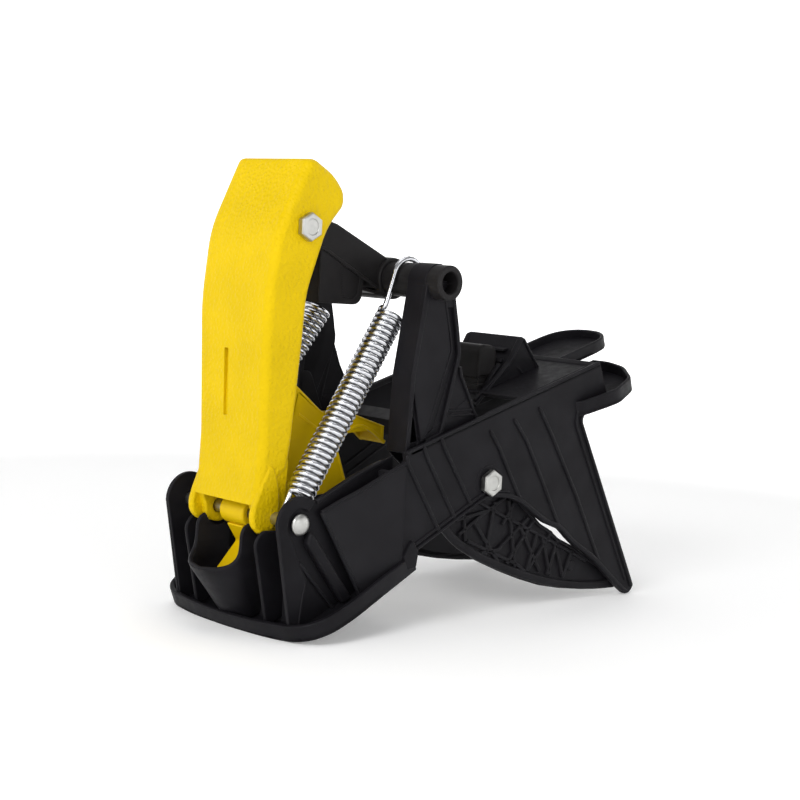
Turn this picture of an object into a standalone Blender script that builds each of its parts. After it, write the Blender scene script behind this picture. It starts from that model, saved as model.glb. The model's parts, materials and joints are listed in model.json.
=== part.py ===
"""Foot-set scissor-jaw mole trap, sprung (jaws closed), standing on its jaw tips and foot plate.

Metres, +Z up, +X to the rear, +Y to the right. The origin is the bottom centre of the bounding box.
Every outline is drawn as (x, z) from the jaw pivot; the parent empties sit on the hinge axes.
"""
from math import atan2, cos, pi, radians, sin

import bmesh
import bpy
from mathutils import Matrix, Vector

MM = 0.001
GAP = 0.3 * MM
WELD = 0.002 * MM
THROUGH = 80.0 * MM

# Hinge axes, all parallel to Y, as (x, z) from the jaw pivot
PIVOT_X = 2.75 * MM
PIVOT_HEIGHT = 64.9 * MM
PEDAL_PIN = (-108.6 * MM, -13.2 * MM)
LINK_BOLT = (-99.5 * MM, 115.0 * MM)
TUBE_AXIS = (-35.9 * MM, 93.3 * MM)

# Widths, as distances from the middle plane
BODY_HALF = 49.0 * MM
FRONT_HALF = 41.0 * MM
WALL = 2.5 * MM
RIB_Y = 25.0 * MM
COLLAR_WALL = 2.3 * MM
FRAME_HALF = 45.2 * MM
FRAME_PLATE = 2.7 * MM
LEG_DEPTH = 13.0 * MM
PEDAL_HALF = 22.5 * MM
PEDAL_WALL = 3.0 * MM
LUG_WIDTH = 6.5 * MM
LUG_RADIUS = 8.0 * MM
LOBE_RADIUS = 12.4 * MM
LINK_HALF = 10.0 * MM
TRIGGER_HALF = 8.5 * MM
TONGUE_HALF = 5.5 * MM

# Turned parts
PIN_RADIUS = 4.5 * MM
PIN_RECESS = 1.0 * MM
TUBE_RADIUS = 8.0 * MM
TUBE_BORE = 5.0 * MM
TUBE_HALF_LENGTH = 52.0 * MM
BOLT_RADIUS = 3.2 * MM
HEX_ACROSS_FLATS = 11.1 * MM
HEAD_HEIGHT = 3.4 * MM
NUT_HEIGHT = 5.4 * MM
WASHER_THICKNESS = 1.2 * MM
SLEEVE_BORE = BOLT_RADIUS + 0.2 * MM
SLEEVE_WALL = 1.4 * MM
LINK_CLEARANCE = 2.4 * MM
LINK_END_RADIUS = 8.6 * MM

# Springs: they lean inwards from the pin up to the tube
SPRING_Y_LOW = 31.0 * MM
SPRING_Y_HIGH = 24.5 * MM
SPRING_RADIUS = 6.5 * MM
WIRE_RADIUS = 1.0 * MM
COIL_START = 17.0 * MM
COIL_LENGTH = 98.0 * MM

# The deck slopes up to the rear; its frame starts at the rear top corner of the side walls
DECK_ANGLE = radians(16.8)
DECK_CORNER = (76.1 * MM, 56.3 * MM)
DECK_DROP = 5.0 * MM
DECK_FRONT = -57.5
# The foot plate slopes down to the front
FOOT_ANGLE = radians(22.3)
FOOT_REAR = (-45.6 * MM, -35.0 * MM)
FOOT_THICKNESS = 2.4 * MM
FOOT_RIM = 5.5 * MM


def start_scene():
    for old in list(bpy.data.objects):
        bpy.data.objects.remove(old)
    collections = []
    for name in ("mole_trap", "cutters"):
        collection = bpy.data.collections.new(name)
        bpy.context.scene.collection.children.link(collection)
        collections.append(collection)
    return collections


PARTS, CUTTERS = start_scene()


def make_material(name, colour, roughness, metallic=0.0):
    material = bpy.data.materials.new(name)
    material.use_nodes = True
    shader = material.node_tree.nodes["Principled BSDF"]
    shader.inputs["Base Color"].default_value = (*colour, 1.0)
    shader.inputs["Roughness"].default_value = roughness
    shader.inputs["Metallic"].default_value = metallic
    return material


BLACK = make_material("black_plastic", (0.025, 0.025, 0.027), 0.5)
YELLOW = make_material("yellow_plastic", (0.9, 0.66, 0.01), 0.45)
STEEL = make_material("zinc_steel", (0.72, 0.73, 0.74), 0.28, 1.0)


def make_axis(name, x, z):
    """An empty on a hinge axis; x and z are measured from the jaw pivot."""
    axis = bpy.data.objects.new(name, None)
    axis.location = (PIVOT_X + x, 0.0, PIVOT_HEIGHT + z)
    PARTS.objects.link(axis)
    return axis


JAW_AXIS = make_axis("jaw_axis", 0.0, 0.0)
PEDAL_AXIS = make_axis("pedal_axis", *PEDAL_PIN)
LINK_AXIS = make_axis("link_axis", *TUBE_AXIS)


def arc(centre, radius, start, end, steps):
    """Points round a centre, from start to end degrees, measured from +X towards +Z."""
    points = []
    for i in range(steps + 1):
        angle = radians(start + (end - start) * i / steps)
        points.append((centre[0] + radius * cos(angle), centre[1] + radius * sin(angle)))
    return points


def mm(points):
    return [(a * MM, b * MM) for a, b in points]


def mesh_object(name, mesh):
    obj = bpy.data.objects.new(name, mesh)
    CUTTERS.objects.link(obj)
    obj.hide_render = True
    obj.display_type = "WIRE"
    return obj


def curve_to_mesh(curve_obj, matrix):
    """Turns a curve object into a mesh object with welded caps, drawn in the jaw pivot's frame."""
    CUTTERS.objects.link(curve_obj)
    bpy.context.view_layer.update()
    evaluated = curve_obj.evaluated_get(bpy.context.evaluated_depsgraph_get())
    mesh = bpy.data.meshes.new_from_object(evaluated)
    name = curve_obj.name
    bpy.data.objects.remove(curve_obj)
    mesh.transform(matrix)
    work = bmesh.new()
    work.from_mesh(mesh)
    bmesh.ops.remove_doubles(work, verts=work.verts, dist=WELD)
    bmesh.ops.dissolve_limit(work, angle_limit=radians(0.5), verts=work.verts, edges=work.edges)
    bmesh.ops.recalc_face_normals(work, faces=work.faces)
    work.to_mesh(mesh)
    work.free()
    return mesh_object(name, mesh)


def extrude(name, points, low, high, frame):
    """A flat outline made thick from low to high along the local Z of a frame matrix."""
    curve = bpy.data.curves.new(name, "CURVE")
    curve.dimensions = "2D"
    curve.fill_mode = "BOTH"
    curve.extrude = (high - low) / 2
    spline = curve.splines.new("POLY")
    spline.points.add(len(points) - 1)
    for target, (a, b) in zip(spline.points, points):
        target.co = (a, b, 0.0, 1.0)
    spline.use_cyclic_u = True
    obj = bpy.data.objects.new(name, curve)
    return curve_to_mesh(obj, frame @ Matrix.Translation((0, 0, (low + high) / 2)))


SIDE_FRAME = Matrix.Rotation(pi / 2, 4, "X")


def side_plate(name, points, y_low, y_high):
    """An (x, z) outline that is thick from y_low to y_high."""
    return extrude(name, points, -y_high, -y_low, SIDE_FRAME)


def sloped_plate(name, points, low, high, corner, angle):
    """An outline in a plane that slopes up to the rear; points are (along, y)."""
    place = Matrix.Translation((corner[0], 0.0, corner[1]))
    return extrude(name, points, low, high, place @ Matrix.Rotation(-angle, 4, "Y"))


def deck_plate(name, points, low, high):
    return sloped_plate(name, points, low, high, DECK_CORNER, DECK_ANGLE)


def foot_plate(name, points, low, high):
    return sloped_plate(name, points, low, high, FOOT_REAR, FOOT_ANGLE)


def rod(name, centre, radius, y_low, y_high, sides=28, top_radius=None):
    """A cylinder or cone along Y through an (x, z) centre."""
    mesh = bpy.data.meshes.new(name)
    work = bmesh.new()
    turn = Matrix.Rotation(-pi / 2, 4, "X")
    move = Matrix.Translation((centre[0], (y_low + y_high) / 2, centre[1]))
    bmesh.ops.create_cone(
        work, cap_ends=True, segments=sides, radius1=radius,
        radius2=radius if top_radius is None else top_radius,
        depth=y_high - y_low, matrix=move @ turn,
    )
    work.to_mesh(mesh)
    work.free()
    return mesh_object(name, mesh)


def box(name, x_range, y_range, z_range):
    (x_low, x_high), (z_low, z_high) = x_range, z_range
    points = [(x_low, z_low), (x_high, z_low), (x_high, z_high), (x_low, z_high)]
    return side_plate(name, points, *y_range)


def bake(obj):
    """Replaces an object's mesh by its evaluated one, with slivers closed."""
    bpy.context.view_layer.update()
    evaluated = obj.evaluated_get(bpy.context.evaluated_depsgraph_get())
    mesh = bpy.data.meshes.new_from_object(evaluated)
    work = bmesh.new()
    work.from_mesh(mesh)
    bmesh.ops.remove_doubles(work, verts=work.verts, dist=WELD)
    bmesh.ops.dissolve_degenerate(work, edges=work.edges, dist=WELD)
    work.to_mesh(mesh)
    work.free()
    obj.modifiers.clear()
    obj.data = mesh


def apply_boolean(base, tools, operation):
    for tool in tools:
        modifier = base.modifiers.new(tool.name, "BOOLEAN")
        modifier.operation = operation
        modifier.solver = "EXACT"
        modifier.object = tool
        bake(base)
    return base


def unite(base, *tools):
    return apply_boolean(base, tools, "UNION")


def cut(base, *tools):
    return apply_boolean(base, tools, "DIFFERENCE")


def keep(base, *tools):
    return apply_boolean(base, tools, "INTERSECT")


def finish_part(obj, name, material, axis):
    """Makes a piece of a mesh and hangs it on its hinge axis, without moving it."""
    bake(obj)
    mesh = obj.data
    mesh.name = name
    mesh.shade_smooth()
    mesh.set_sharp_from_angle(angle=radians(30))
    mesh.materials.clear()
    mesh.materials.append(material)
    part = bpy.data.objects.new(name, mesh)
    PARTS.objects.link(part)
    part.parent = axis
    part.location = JAW_AXIS.location - axis.location
    return part


def mirrored(points):
    """Closes a half outline (points run from the middle plane round to it) by its mirror image in y."""
    return points + [(a, -b) for a, b in reversed(points) if abs(b) > 1e-9]


# --- Front jaw body: foot plate, side walls, deck and the front pair of jaws -------------------

SIDE_OUTLINE = mm([
    (-54.5, -38.5), (-45.6, -33.0), (-45.6, -28.5), (-2.0, -7.4), (3.0, -7.2), (14.0, -8.2),
    (23.0, -11.5), (33.0, -17.6), (41.6, -22.6), (53.0, -26.6), (59.1, -31.6), (65.3, -36.1),
    (79.1, -43.8), (90.0, -52.0), (101.6, -60.8), (107.5, -64.9), (112.0, -64.9), (115.2, -61.0),
    (65.5, 27.5), (67.0, 33.0), (85.0, 36.0), (76.1, 56.3), (-54.5, 16.9),
])
FLARE_OUTLINE = mm([
    (-50.0, -37.0), (-75.0, -47.5), (-98.5, -7.2), (-87.0, -1.8), (-71.7, 6.0), (-58.0, 12.2),
    (-54.5, 16.7), (-50.0, 17.8),
])
INNER_OUTLINE = mm([
    (-94.5, -3.0), (-90.0, -0.4), (-83.6, 3.6), (-60.0, 12.4), (-54.0, 14.2), (-54.0, -38.0),
    (-111.0, -62.0),
])
FLARE_PLAN = mm([
    (-102.0, 38.6), (-102.0, 41.1), (-54.4, 48.8), (-50.0, 48.8), (-50.0, 46.7), (-54.4, 46.3),
])
CROSS_RIB_OUTLINE = mm([(-56.2, 11.5), (-54.2, 12.5), (-54.2, -37.5), (-56.2, -38.5)])
BRACE_OUTLINE = mm([(-104.5, -19.0), (-99.5, -9.0), (-77.0, -47.5), (-82.0, -49.5)])


def make_side(side):
    """One side: the straight inner wall round the pin, and the outer wall that flares out behind it."""
    def plate(name, points, inside, outside):
        return side_plate(name, points, *sorted((side * inside, side * outside)))

    outer = plate("side_wall", SIDE_OUTLINE, BODY_HALF - WALL, BODY_HALF)
    lobe = INNER_OUTLINE + arc(PEDAL_PIN, LOBE_RADIUS, 180, 55, 12)
    inner = plate("inner_wall", lobe, FRONT_HALF - WALL, FRONT_HALF)
    plan = [(a, side * b) for a, b in FLARE_PLAN]
    strip = extrude("flare", plan, -62.0 * MM, 20.0 * MM, Matrix.Identity(4))
    flare = keep(strip, side_plate("flare_profile", FLARE_OUTLINE, -THROUGH, THROUGH))
    cross = plate("cross_rib", CROSS_RIB_OUTLINE, 39.5 * MM, 47.5 * MM)
    brace = plate("brace", BRACE_OUTLINE, 39.2 * MM, 43.6 * MM)
    return [outer, inner, flare, cross, brace]


def make_foot():
    half = mm([
        (-76.0, 0.0), (-75.0, 22.0), (-72.0, 43.0), (-67.0, 51.0), (-58.0, 55.0), (-45.0, 55.2),
        (-20.0, 52.0), (0.6, 49.7),
    ])
    inset = mm([
        (-73.6, 0.0), (-72.6, 21.5), (-69.8, 41.6), (-65.4, 48.8), (-57.4, 52.5), (-45.0, 52.8),
        (-20.0, 49.6), (6.0, 46.0),
    ])
    tray = foot_plate("foot_tray", mirrored(half), -FOOT_THICKNESS, FOOT_RIM)
    hollow = foot_plate("foot_hollow", mirrored(inset), 0.0, FOOT_RIM * 2)
    return cut(tray, hollow)


def make_front_ribs():
    outline = mm([
        (-112.5, -62.0), (-121.2, -23.0), (-117.0, -17.5), (-101.0, -19.0), (-90.0, -32.0), (-90.0, -52.0),
    ])
    return [side_plate("front_rib", outline, y - MM, y + MM) for y in (-RIB_Y, RIB_Y)]


# The scoop's plan at each level, from its base up: z, where its straight sides end, front x and half width
SCOOP_LEVELS = [
    (-66.0, -103.0, -110.5, 8.8), (-50.0, -111.8, -122.3, 13.0), (-38.0, -119.0, -131.6, 16.2),
    (-28.0, -121.0, -135.0, 16.9), (-12.0, -121.0, -138.0, 16.9),
]
SCOOP_TOP = mm([
    (-160.0, 10.0), (-160.0, -37.9), (-131.6, -37.6), (-128.0, -36.2), (-125.0, -34.8),
    (-122.6, -32.6), (-121.0, -29.8), (-120.5, -26.0), (-120.4, -20.5), (-119.2, -18.0),
    (-116.8, -16.8), (-80.0, -16.8), (-80.0, 10.0),
])


def make_scoop_form(name, rear, shrink):
    """A solid with a U-shaped plan that widens upwards, drawn in by shrink all round."""
    work = bmesh.new()
    rings = []
    for z, side_end, front, half in SCOOP_LEVELS:
        length, width = side_end - front - shrink, half - shrink
        plan = [(rear, -width)]
        for step in range(17):
            angle = pi * (step / 16 - 0.5)
            plan.append((side_end - length * cos(angle), width * sin(angle)))
        plan.append((rear, width))
        rings.append([work.verts.new((x * MM, y * MM, z * MM)) for x, y in plan])
    for low, high in zip(rings, rings[1:]):
        for i in range(len(low)):
            k = (i + 1) % len(low)
            work.faces.new((low[i], low[k], high[k]))
            work.faces.new((low[i], high[k], high[i]))
    work.faces.new(rings[0])
    work.faces.new(rings[-1])
    bmesh.ops.recalc_face_normals(work, faces=work.faces)
    mesh = bpy.data.meshes.new(name)
    work.to_mesh(mesh)
    work.free()
    return mesh_object(name, mesh)


def make_collar():
    """The forward-leaning scoop round the trigger's tongue, open to the rear, with a dished lip."""
    reach = 30.0 * MM
    outer = make_scoop_form("scoop", -103.0, 0.0)
    inner = make_scoop_form("scoop_bore", -90.0, COLLAR_WALL / MM)
    top_cut = side_plate("scoop_top", SCOOP_TOP, -reach, reach)
    below = mm([(-160.0, -80.5), (-60.0, -39.4), (-60.0, -90.0), (-160.0, -90.0)])
    below_cut = side_plate("scoop_below", below, -reach, reach)
    lug_clearance = rod("lug_clearance", PEDAL_PIN, LUG_RADIUS + 0.8 * MM, -reach, reach)
    return cut(outer, inner, top_cut, below_cut, lug_clearance)


def make_deck():
    half = mm([(DECK_FRONT, 38.3), (-10.0, 38.3), (-10.0, 48.0), (0.0, 48.0)])
    deck = deck_plate("deck", mirrored(half), -DECK_DROP - WALL, -DECK_DROP)
    rims = []
    for side in (-1, 1):
        y_low, y_high = sorted((side * 36.5, side * 38.15))
        rim = mm([(DECK_FRONT, y_low), (-8.0, y_low), (-8.0, y_high), (DECK_FRONT, y_high)])
        rims.append(deck_plate("deck_rim", rim, -DECK_DROP - 1.0 * MM, -0.4 * MM))
    back = side_plate(
        "back_wall", mm([(76.0, 56.0), (86.5, 34.0), (84.0, 32.5), (72.5, 54.0)]), -48.0 * MM, 48.0 * MM,
    )
    ledge = mirrored(mm([(-12.0, 47.5), (-0.8, 47.5)]))
    return [deck, *rims, back, deck_plate("rear_ledge", ledge, -2.4 * MM, -0.3 * MM)]


def make_shelves():
    """The middle tongue and the two ears behind the deck: shallow trays with a raised rim."""
    tongue_half = mm([(50.0, 0.0), (49.0, 8.0), (45.5, 14.0), (40.0, 17.8), (32.0, 19.0), (-2.0, 19.0)])
    tongue_inset = mm([(48.2, 0.0), (47.2, 7.4), (44.2, 12.8), (39.2, 16.1), (31.6, 17.2), (-6.0, 17.2)])
    tongue = deck_plate("tongue", mirrored(tongue_half), -8.2 * MM, -2.0 * MM)
    tongue = cut(tongue, deck_plate("tongue_hollow", mirrored(tongue_inset), -6.2 * MM, 2.0 * MM))
    shelves = [tongue]
    for side in (-1, 1):
        ear = mm([
            (-23.0, 47.5), (-20.0, 52.0), (-8.0, 55.0), (2.0, 57.0), (20.0, 51.0), (33.0, 36.0),
            (37.5, 22.0), (37.5, 12.0), (6.0, 12.0), (4.0, 47.5),
        ])
        inset = mm([
            (-17.0, 48.1), (-8.0, 53.0), (2.0, 55.0), (19.0, 49.4), (31.4, 35.0), (35.7, 21.5),
            (35.7, 13.8), (9.0, 13.8), (9.0, 48.1),
        ])
        shelf = deck_plate("ear", [(a, side * b) for a, b in ear], -21.5 * MM, -14.5 * MM)
        hollow = deck_plate("ear_hollow", [(a, side * b) for a, b in inset], -19.3 * MM, -10.0 * MM)
        shelves.append(cut(shelf, hollow))
    return shelves


def make_hood():
    """A steep front plate with a sloping gusset at each end."""
    plate = mm([(50.3, 66.3), (52.6, 66.3), (39.2, 40.0), (36.9, 40.0)])
    gusset = mm([
        (52.0, 66.2), (68.0, 46.5), (64.0, 45.0), (22.0, 32.5), (19.5, 35.5), (43.3, 54.5), (49.5, 65.5),
    ])
    pieces = [side_plate("hood_plate", plate, -18.0 * MM, 18.0 * MM)]
    for side in (-1, 1):
        pieces.append(side_plate("hood_gusset", gusset, *sorted((side * 17.0 * MM, side * 18.8 * MM))))
    return pieces


def make_front_jaw_body():
    tools = [
        *make_side(-1), *make_side(1), *make_front_ribs(), make_collar(), *make_deck(), *make_shelves(),
        *make_hood(),
    ]
    body = unite(make_foot(), *tools)
    holes = [
        rod("pin_bore", PEDAL_PIN, PIN_RADIUS + GAP, -THROUGH, THROUGH),
        rod("pivot_bore", (0.0, 0.0), BOLT_RADIUS + GAP, -THROUGH, THROUGH),
    ]
    for side in (-1, 1):
        recess = sorted((side * (FRONT_HALF - PIN_RECESS), side * (FRONT_HALF + 5 * MM)))
        holes.append(rod("pin_recess", PEDAL_PIN, 6.6 * MM, *recess))
    below_ground = (-PIVOT_HEIGHT - THROUGH, -PIVOT_HEIGHT)
    holes.append(box("ground", (-200 * MM, 200 * MM), (-THROUGH, THROUGH), below_ground))
    return finish_part(cut(body, *holes), "front_jaw_body", BLACK, JAW_AXIS)


def make_latch_box():
    outline = mm([(27.5, 39.0), (27.5, 57.0)]) + arc((31.5 * MM, 57.5 * MM), 4 * MM, 180, 80, 5)
    outline += mm([(40.0, 61.0), (43.3, 59.0), (43.0, 53.5), (37.0, 42.0)])
    body = side_plate("latch_box_body", outline, -15.0 * MM, 15.0 * MM)
    mouth = box("latch_mouth", (20 * MM, 36 * MM), (-6 * MM, 6 * MM), (44 * MM, 52 * MM))
    return finish_part(cut(body, mouth), "latch_box", BLACK, JAW_AXIS)


# --- Rear jaw frame ------------------------------------------------------------------------------

FRAME_OUTLINE = mm([
    (-44.5, 91.5), (-50.6, 51.0), (-51.8, 14.5), (-38.0, -4.0), (-24.0, -20.0), (-14.0, -33.0),
    (0.0, -38.8), (16.0, -44.2), (31.0, -49.6), (46.0, -54.2), (61.0, -57.6), (77.0, -60.2),
    (92.0, -61.6), (104.0, -62.0), (107.5, -60.0), (96.0, -51.5), (83.7, -44.9), (78.3, -42.2),
    (69.8, -37.2), (57.2, -31.8), (49.7, -26.4), (43.2, -23.4), (37.2, -18.0), (23.0, -8.0), (17.0, 4.0),
    (8.0, 18.0), (-6.0, 33.0), (-15.7, 53.1), (-19.0, 61.5), (-19.0, 67.5), (-26.0, 91.5),
])


def make_rear_jaw_frame():
    pieces = []
    for side in (-1, 1):
        outer = side * FRAME_HALF
        plate = side_plate("frame_plate", FRAME_OUTLINE, *sorted((outer, outer - side * FRAME_PLATE)))
        deep = sorted((outer, outer - side * LEG_DEPTH))
        front = mm([(-44.5, 91.5), (-50.6, 51.0), (-51.8, 18.0), (-49.2, 18.0), (-48.0, 51.0), (-41.5, 91.5)])
        saddle = mm([(-44.5, 91.5), (-46.3, 80.0), (-23.0, 80.0), (-26.0, 91.5)])
        opening = mm([(-48.2, 42.0), (-50.5, 20.5), (-42.5, 23.5)])
        window = side_plate("leg_window", opening, -THROUGH, THROUGH)
        plate = cut(plate, window)
        pieces += [plate, side_plate("leg_front", front, *deep), side_plate("saddle", saddle, *deep)]
    inner = FRAME_HALF - 1.0 * MM
    web = mm([(-16.0, 17.0), (-15.0, 24.0), (-6.0, 28.0), (-4.0, 25.5), (-12.0, 22.0), (-13.5, 16.0)])
    pieces.append(side_plate("cross_web", web, -inner, inner))
    frame = unite(pieces[0], *pieces[1:])
    holes = [
        rod("tube_seat", TUBE_AXIS, TUBE_RADIUS + GAP, -THROUGH, THROUGH, 40),
        rod("sleeve_bore", (0.0, 0.0), SLEEVE_BORE + SLEEVE_WALL + GAP, -THROUGH, THROUGH),
    ]
    return finish_part(cut(frame, *holes), "rear_jaw_frame", BLACK, JAW_AXIS)


def make_cross_tube():
    tube = rod("tube_body", TUBE_AXIS, TUBE_RADIUS, -TUBE_HALF_LENGTH, TUBE_HALF_LENGTH, 40)
    bore = rod("tube_bore", TUBE_AXIS, TUBE_BORE, -THROUGH, THROUGH, 32)
    return finish_part(cut(tube, bore), "cross_tube", BLACK, JAW_AXIS)


# --- Pedal -----------------------------------------------------------------------------------------

PEDAL_FRONT = mm([(-117.6, 3.0), (-117.3, 21.0), (-119.2, 80.0), (-115.4, 112.0), (-100.0, 144.4)])
PEDAL_BACK = mm([
    (-95.5, 144.7), (-84.0, 138.5), (-78.0, 131.5), (-77.5, 125.0), (-86.5, 114.5), (-95.9, 86.1),
    (-96.8, 65.0), (-99.8, 20.0), (-101.5, 8.0),
])


def make_pedal():
    outline = PEDAL_FRONT + PEDAL_BACK
    body = side_plate("pedal_shell", outline, -PEDAL_HALF, PEDAL_HALF)
    bevel = body.modifiers.new("rounded edges", "BEVEL")
    bevel.width = 2.4 * MM
    bevel.segments = 2
    bevel.limit_method = "ANGLE"
    bevel.angle_limit = radians(60)
    hollow = mm([
        (-114.6, -3.0), (-114.3, 21.0), (-116.2, 80.0), (-113.6, 111.8), (-99.4, 141.4), (-88.0, 135.5),
        (-60.0, 146.0), (-60.0, -3.0),
    ])
    inner = PEDAL_HALF - PEDAL_WALL
    lugs = []
    for side in (-1, 1):
        lug = mm([(-101.0, 12.0), (-117.0, 12.0), (-117.6, 0.0)]) + arc(PEDAL_PIN, LUG_RADIUS, 170, 380, 12)
        outer = PEDAL_HALF - 0.2 * MM
        low, high = sorted((side * outer, side * (outer - LUG_WIDTH)))
        lugs.append(side_plate("pedal_lug", lug, low, high))
    body = unite(cut(body, side_plate("pedal_hollow", hollow, -inner, inner)), *lugs)
    slot = box("pedal_slot", (-125 * MM, -116.8 * MM), (1.8 * MM, 4.6 * MM), (30 * MM, 60 * MM))
    holes = [
        slot,
        rod("pedal_pin_bore", PEDAL_PIN, PIN_RADIUS + GAP, -THROUGH, THROUGH),
        rod("link_bolt_bore", LINK_BOLT, BOLT_RADIUS + GAP, -THROUGH, THROUGH),
    ]
    return finish_part(cut(body, *holes), "pedal_handle", YELLOW, PEDAL_AXIS)


def make_trigger():
    outline = mm([
        (-101.0, -2.0), (-92.0, 16.5), (-79.5, 42.0), (-62.0, 32.5), (-42.5, 29.5), (-22.5, 24.0),
        (-22.5, 13.0), (-32.0, 18.5), (-43.0, 20.5), (-50.0, 15.0), (-46.5, -4.0), (-60.0, -8.0),
        (-90.0, -8.0),
    ])
    body = side_plate("trigger_web", outline, -TRIGGER_HALF, TRIGGER_HALF)
    knuckle = rod("trigger_knuckle", PEDAL_PIN, 7.8 * MM, -TRIGGER_HALF, TRIGGER_HALF)
    arm = mm([(-110.5, -6.5), (-97.0, 7.0), (-84.0, -7.0), (-103.5, -18.5)])
    tongue = mm([
        (-115.0, -17.5), (-106.8, -27.5), (-118.0, -40.0), (-116.3, -41.6), (-103.0, -28.5), (-104.5, -17.0),
    ])
    unite(
        body, knuckle, side_plate("trigger_arm", arm, -TRIGGER_HALF, TRIGGER_HALF),
        side_plate("trigger_tongue", tongue, -TONGUE_HALF, TONGUE_HALF),
    )
    pocket = mm([
        (-92.0, 8.0), (-80.5, 36.5), (-63.0, 28.0), (-52.5, 25.5),
        (-54.0, 13.0), (-51.0, -2.0), (-88.0, -4.0),
    ])
    for side in (-1, 1):
        cut(body, side_plate("trigger_pocket", pocket, *sorted((side * 1.2 * MM, side * 20.0 * MM))))
    cut(body, rod("trigger_bore", PEDAL_PIN, PIN_RADIUS + GAP, -THROUGH, THROUGH))
    return finish_part(body, "trigger_plate", YELLOW, PEDAL_AXIS)


# --- Toggle link -------------------------------------------------------------------------------------

def make_toggle_link():
    outline = arc(LINK_BOLT, LINK_END_RADIUS, 70, 250, 12)
    outline += mm([(-76.0, 105.2), (-41.0, 89.0), (-36.0, 101.0), (-71.0, 117.2)])
    arm = side_plate("link_arm", outline, -LINK_HALF, LINK_HALF)
    hub = rod("link_hub", TUBE_AXIS, 10.6 * MM, -LINK_HALF, LINK_HALF, 36)
    pocket = mm([(-84.0, 112.5), (-80.0, 106.8), (-50.0, 95.0), (-48.5, 98.5), (-72.0, 113.5)])
    body = unite(arm, hub)
    cut(body, side_plate("link_pocket", pocket, -LINK_HALF + 2.2 * MM, LINK_HALF * 2))
    cut(body, rod("link_tube_bore", TUBE_AXIS, TUBE_RADIUS + GAP, -THROUGH, THROUGH, 40))
    slack = BOLT_RADIUS + SLEEVE_WALL + LINK_CLEARANCE
    cut(body, rod("link_bolt_slack", LINK_BOLT, slack, -THROUGH, THROUGH))
    return finish_part(body, "toggle_link", BLACK, LINK_AXIS)


def make_latch_catch():
    outline = mm([(-73.0, 103.2), (-73.5, 81.5), (-52.0, 79.4)])
    outline += arc((-51.0 * MM, 86.0 * MM), 5.8 * MM, -80, 10, 6)
    outline += mm([(-47.0, 91.1)])
    body = side_plate("catch_body", outline, -8.5 * MM, 8.5 * MM)
    inside = mm([(-71.0, 110.0), (-71.3, 83.8), (-53.0, 81.9), (-47.8, 86.0), (-49.0, 110.0)])
    cut(body, side_plate("catch_hollow", inside, -6.3 * MM, 6.3 * MM))
    return finish_part(body, "latch_catch", BLACK, LINK_AXIS)


# --- Fasteners -----------------------------------------------------------------------------------------

def hexagon(name, centre, y_low, y_high):
    return rod(name, centre, HEX_ACROSS_FLATS / 2 / cos(pi / 6), y_low, y_high, 6)


def make_bolt(name, centre, side, head_y, tip_y, axis):
    """A hex bolt along Y: side is -1 where its head looks to -Y, and the y values are distances out."""
    head = hexagon("head", centre, *sorted((side * head_y, side * (head_y + HEAD_HEIGHT))))
    shank = rod("shank", centre, BOLT_RADIUS, *sorted((side * (head_y + MM), side * tip_y)))
    return finish_part(unite(head, shank), name, STEEL, axis)


def make_bored(name, blank, centre, radius, axis):
    """A blank with a hole of that radius right through it."""
    bore = rod("bore", centre, radius, -THROUGH, THROUGH)
    return finish_part(cut(blank, bore), name, STEEL, axis)


def make_ring(name, centre, outer, inner, y_low, y_high, axis):
    return make_bored(name, rod("ring", centre, outer, y_low, y_high), centre, inner, axis)


def make_nut(name, centre, y_low, y_high, axis):
    return make_bored(name, hexagon("nut", centre, y_low, y_high), centre, BOLT_RADIUS + GAP, axis)


def make_pivot_hardware(side, word):
    centre = (0.0, 0.0)
    plate_in = FRAME_HALF - FRAME_PLATE
    washer_y = plate_in - GAP - WASHER_THICKNESS - 0.2 * MM
    nut_y = washer_y - GAP - NUT_HEIGHT
    make_bolt("pivot_bolt_" + word, centre, side, BODY_HALF + GAP, nut_y - 1.5 * MM, JAW_AXIS)
    sleeve = sorted((side * (BODY_HALF - WALL - GAP), side * (plate_in - 0.2 * MM)))
    make_ring("pivot_sleeve_" + word, centre, SLEEVE_BORE + SLEEVE_WALL, SLEEVE_BORE, *sleeve, JAW_AXIS)
    washer = sorted((side * washer_y, side * (washer_y + WASHER_THICKNESS)))
    make_ring("pivot_washer_" + word, centre, 7.0 * MM, BOLT_RADIUS + GAP, *washer, JAW_AXIS)
    make_nut("pivot_nut_" + word, centre, *sorted((side * nut_y, side * (nut_y + NUT_HEIGHT))), JAW_AXIS)


def make_link_hardware():
    half = PEDAL_HALF
    nut_y = half + GAP
    make_bolt("link_bolt", LINK_BOLT, -1, half + GAP, -nut_y - NUT_HEIGHT - 1.5 * MM, PEDAL_AXIS)
    make_nut("link_nut", LINK_BOLT, nut_y, nut_y + NUT_HEIGHT, PEDAL_AXIS)
    inner = half - PEDAL_WALL - GAP
    outer = BOLT_RADIUS + SLEEVE_WALL
    make_ring("link_spacer", LINK_BOLT, outer, BOLT_RADIUS + GAP, -inner, inner, PEDAL_AXIS)


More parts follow.
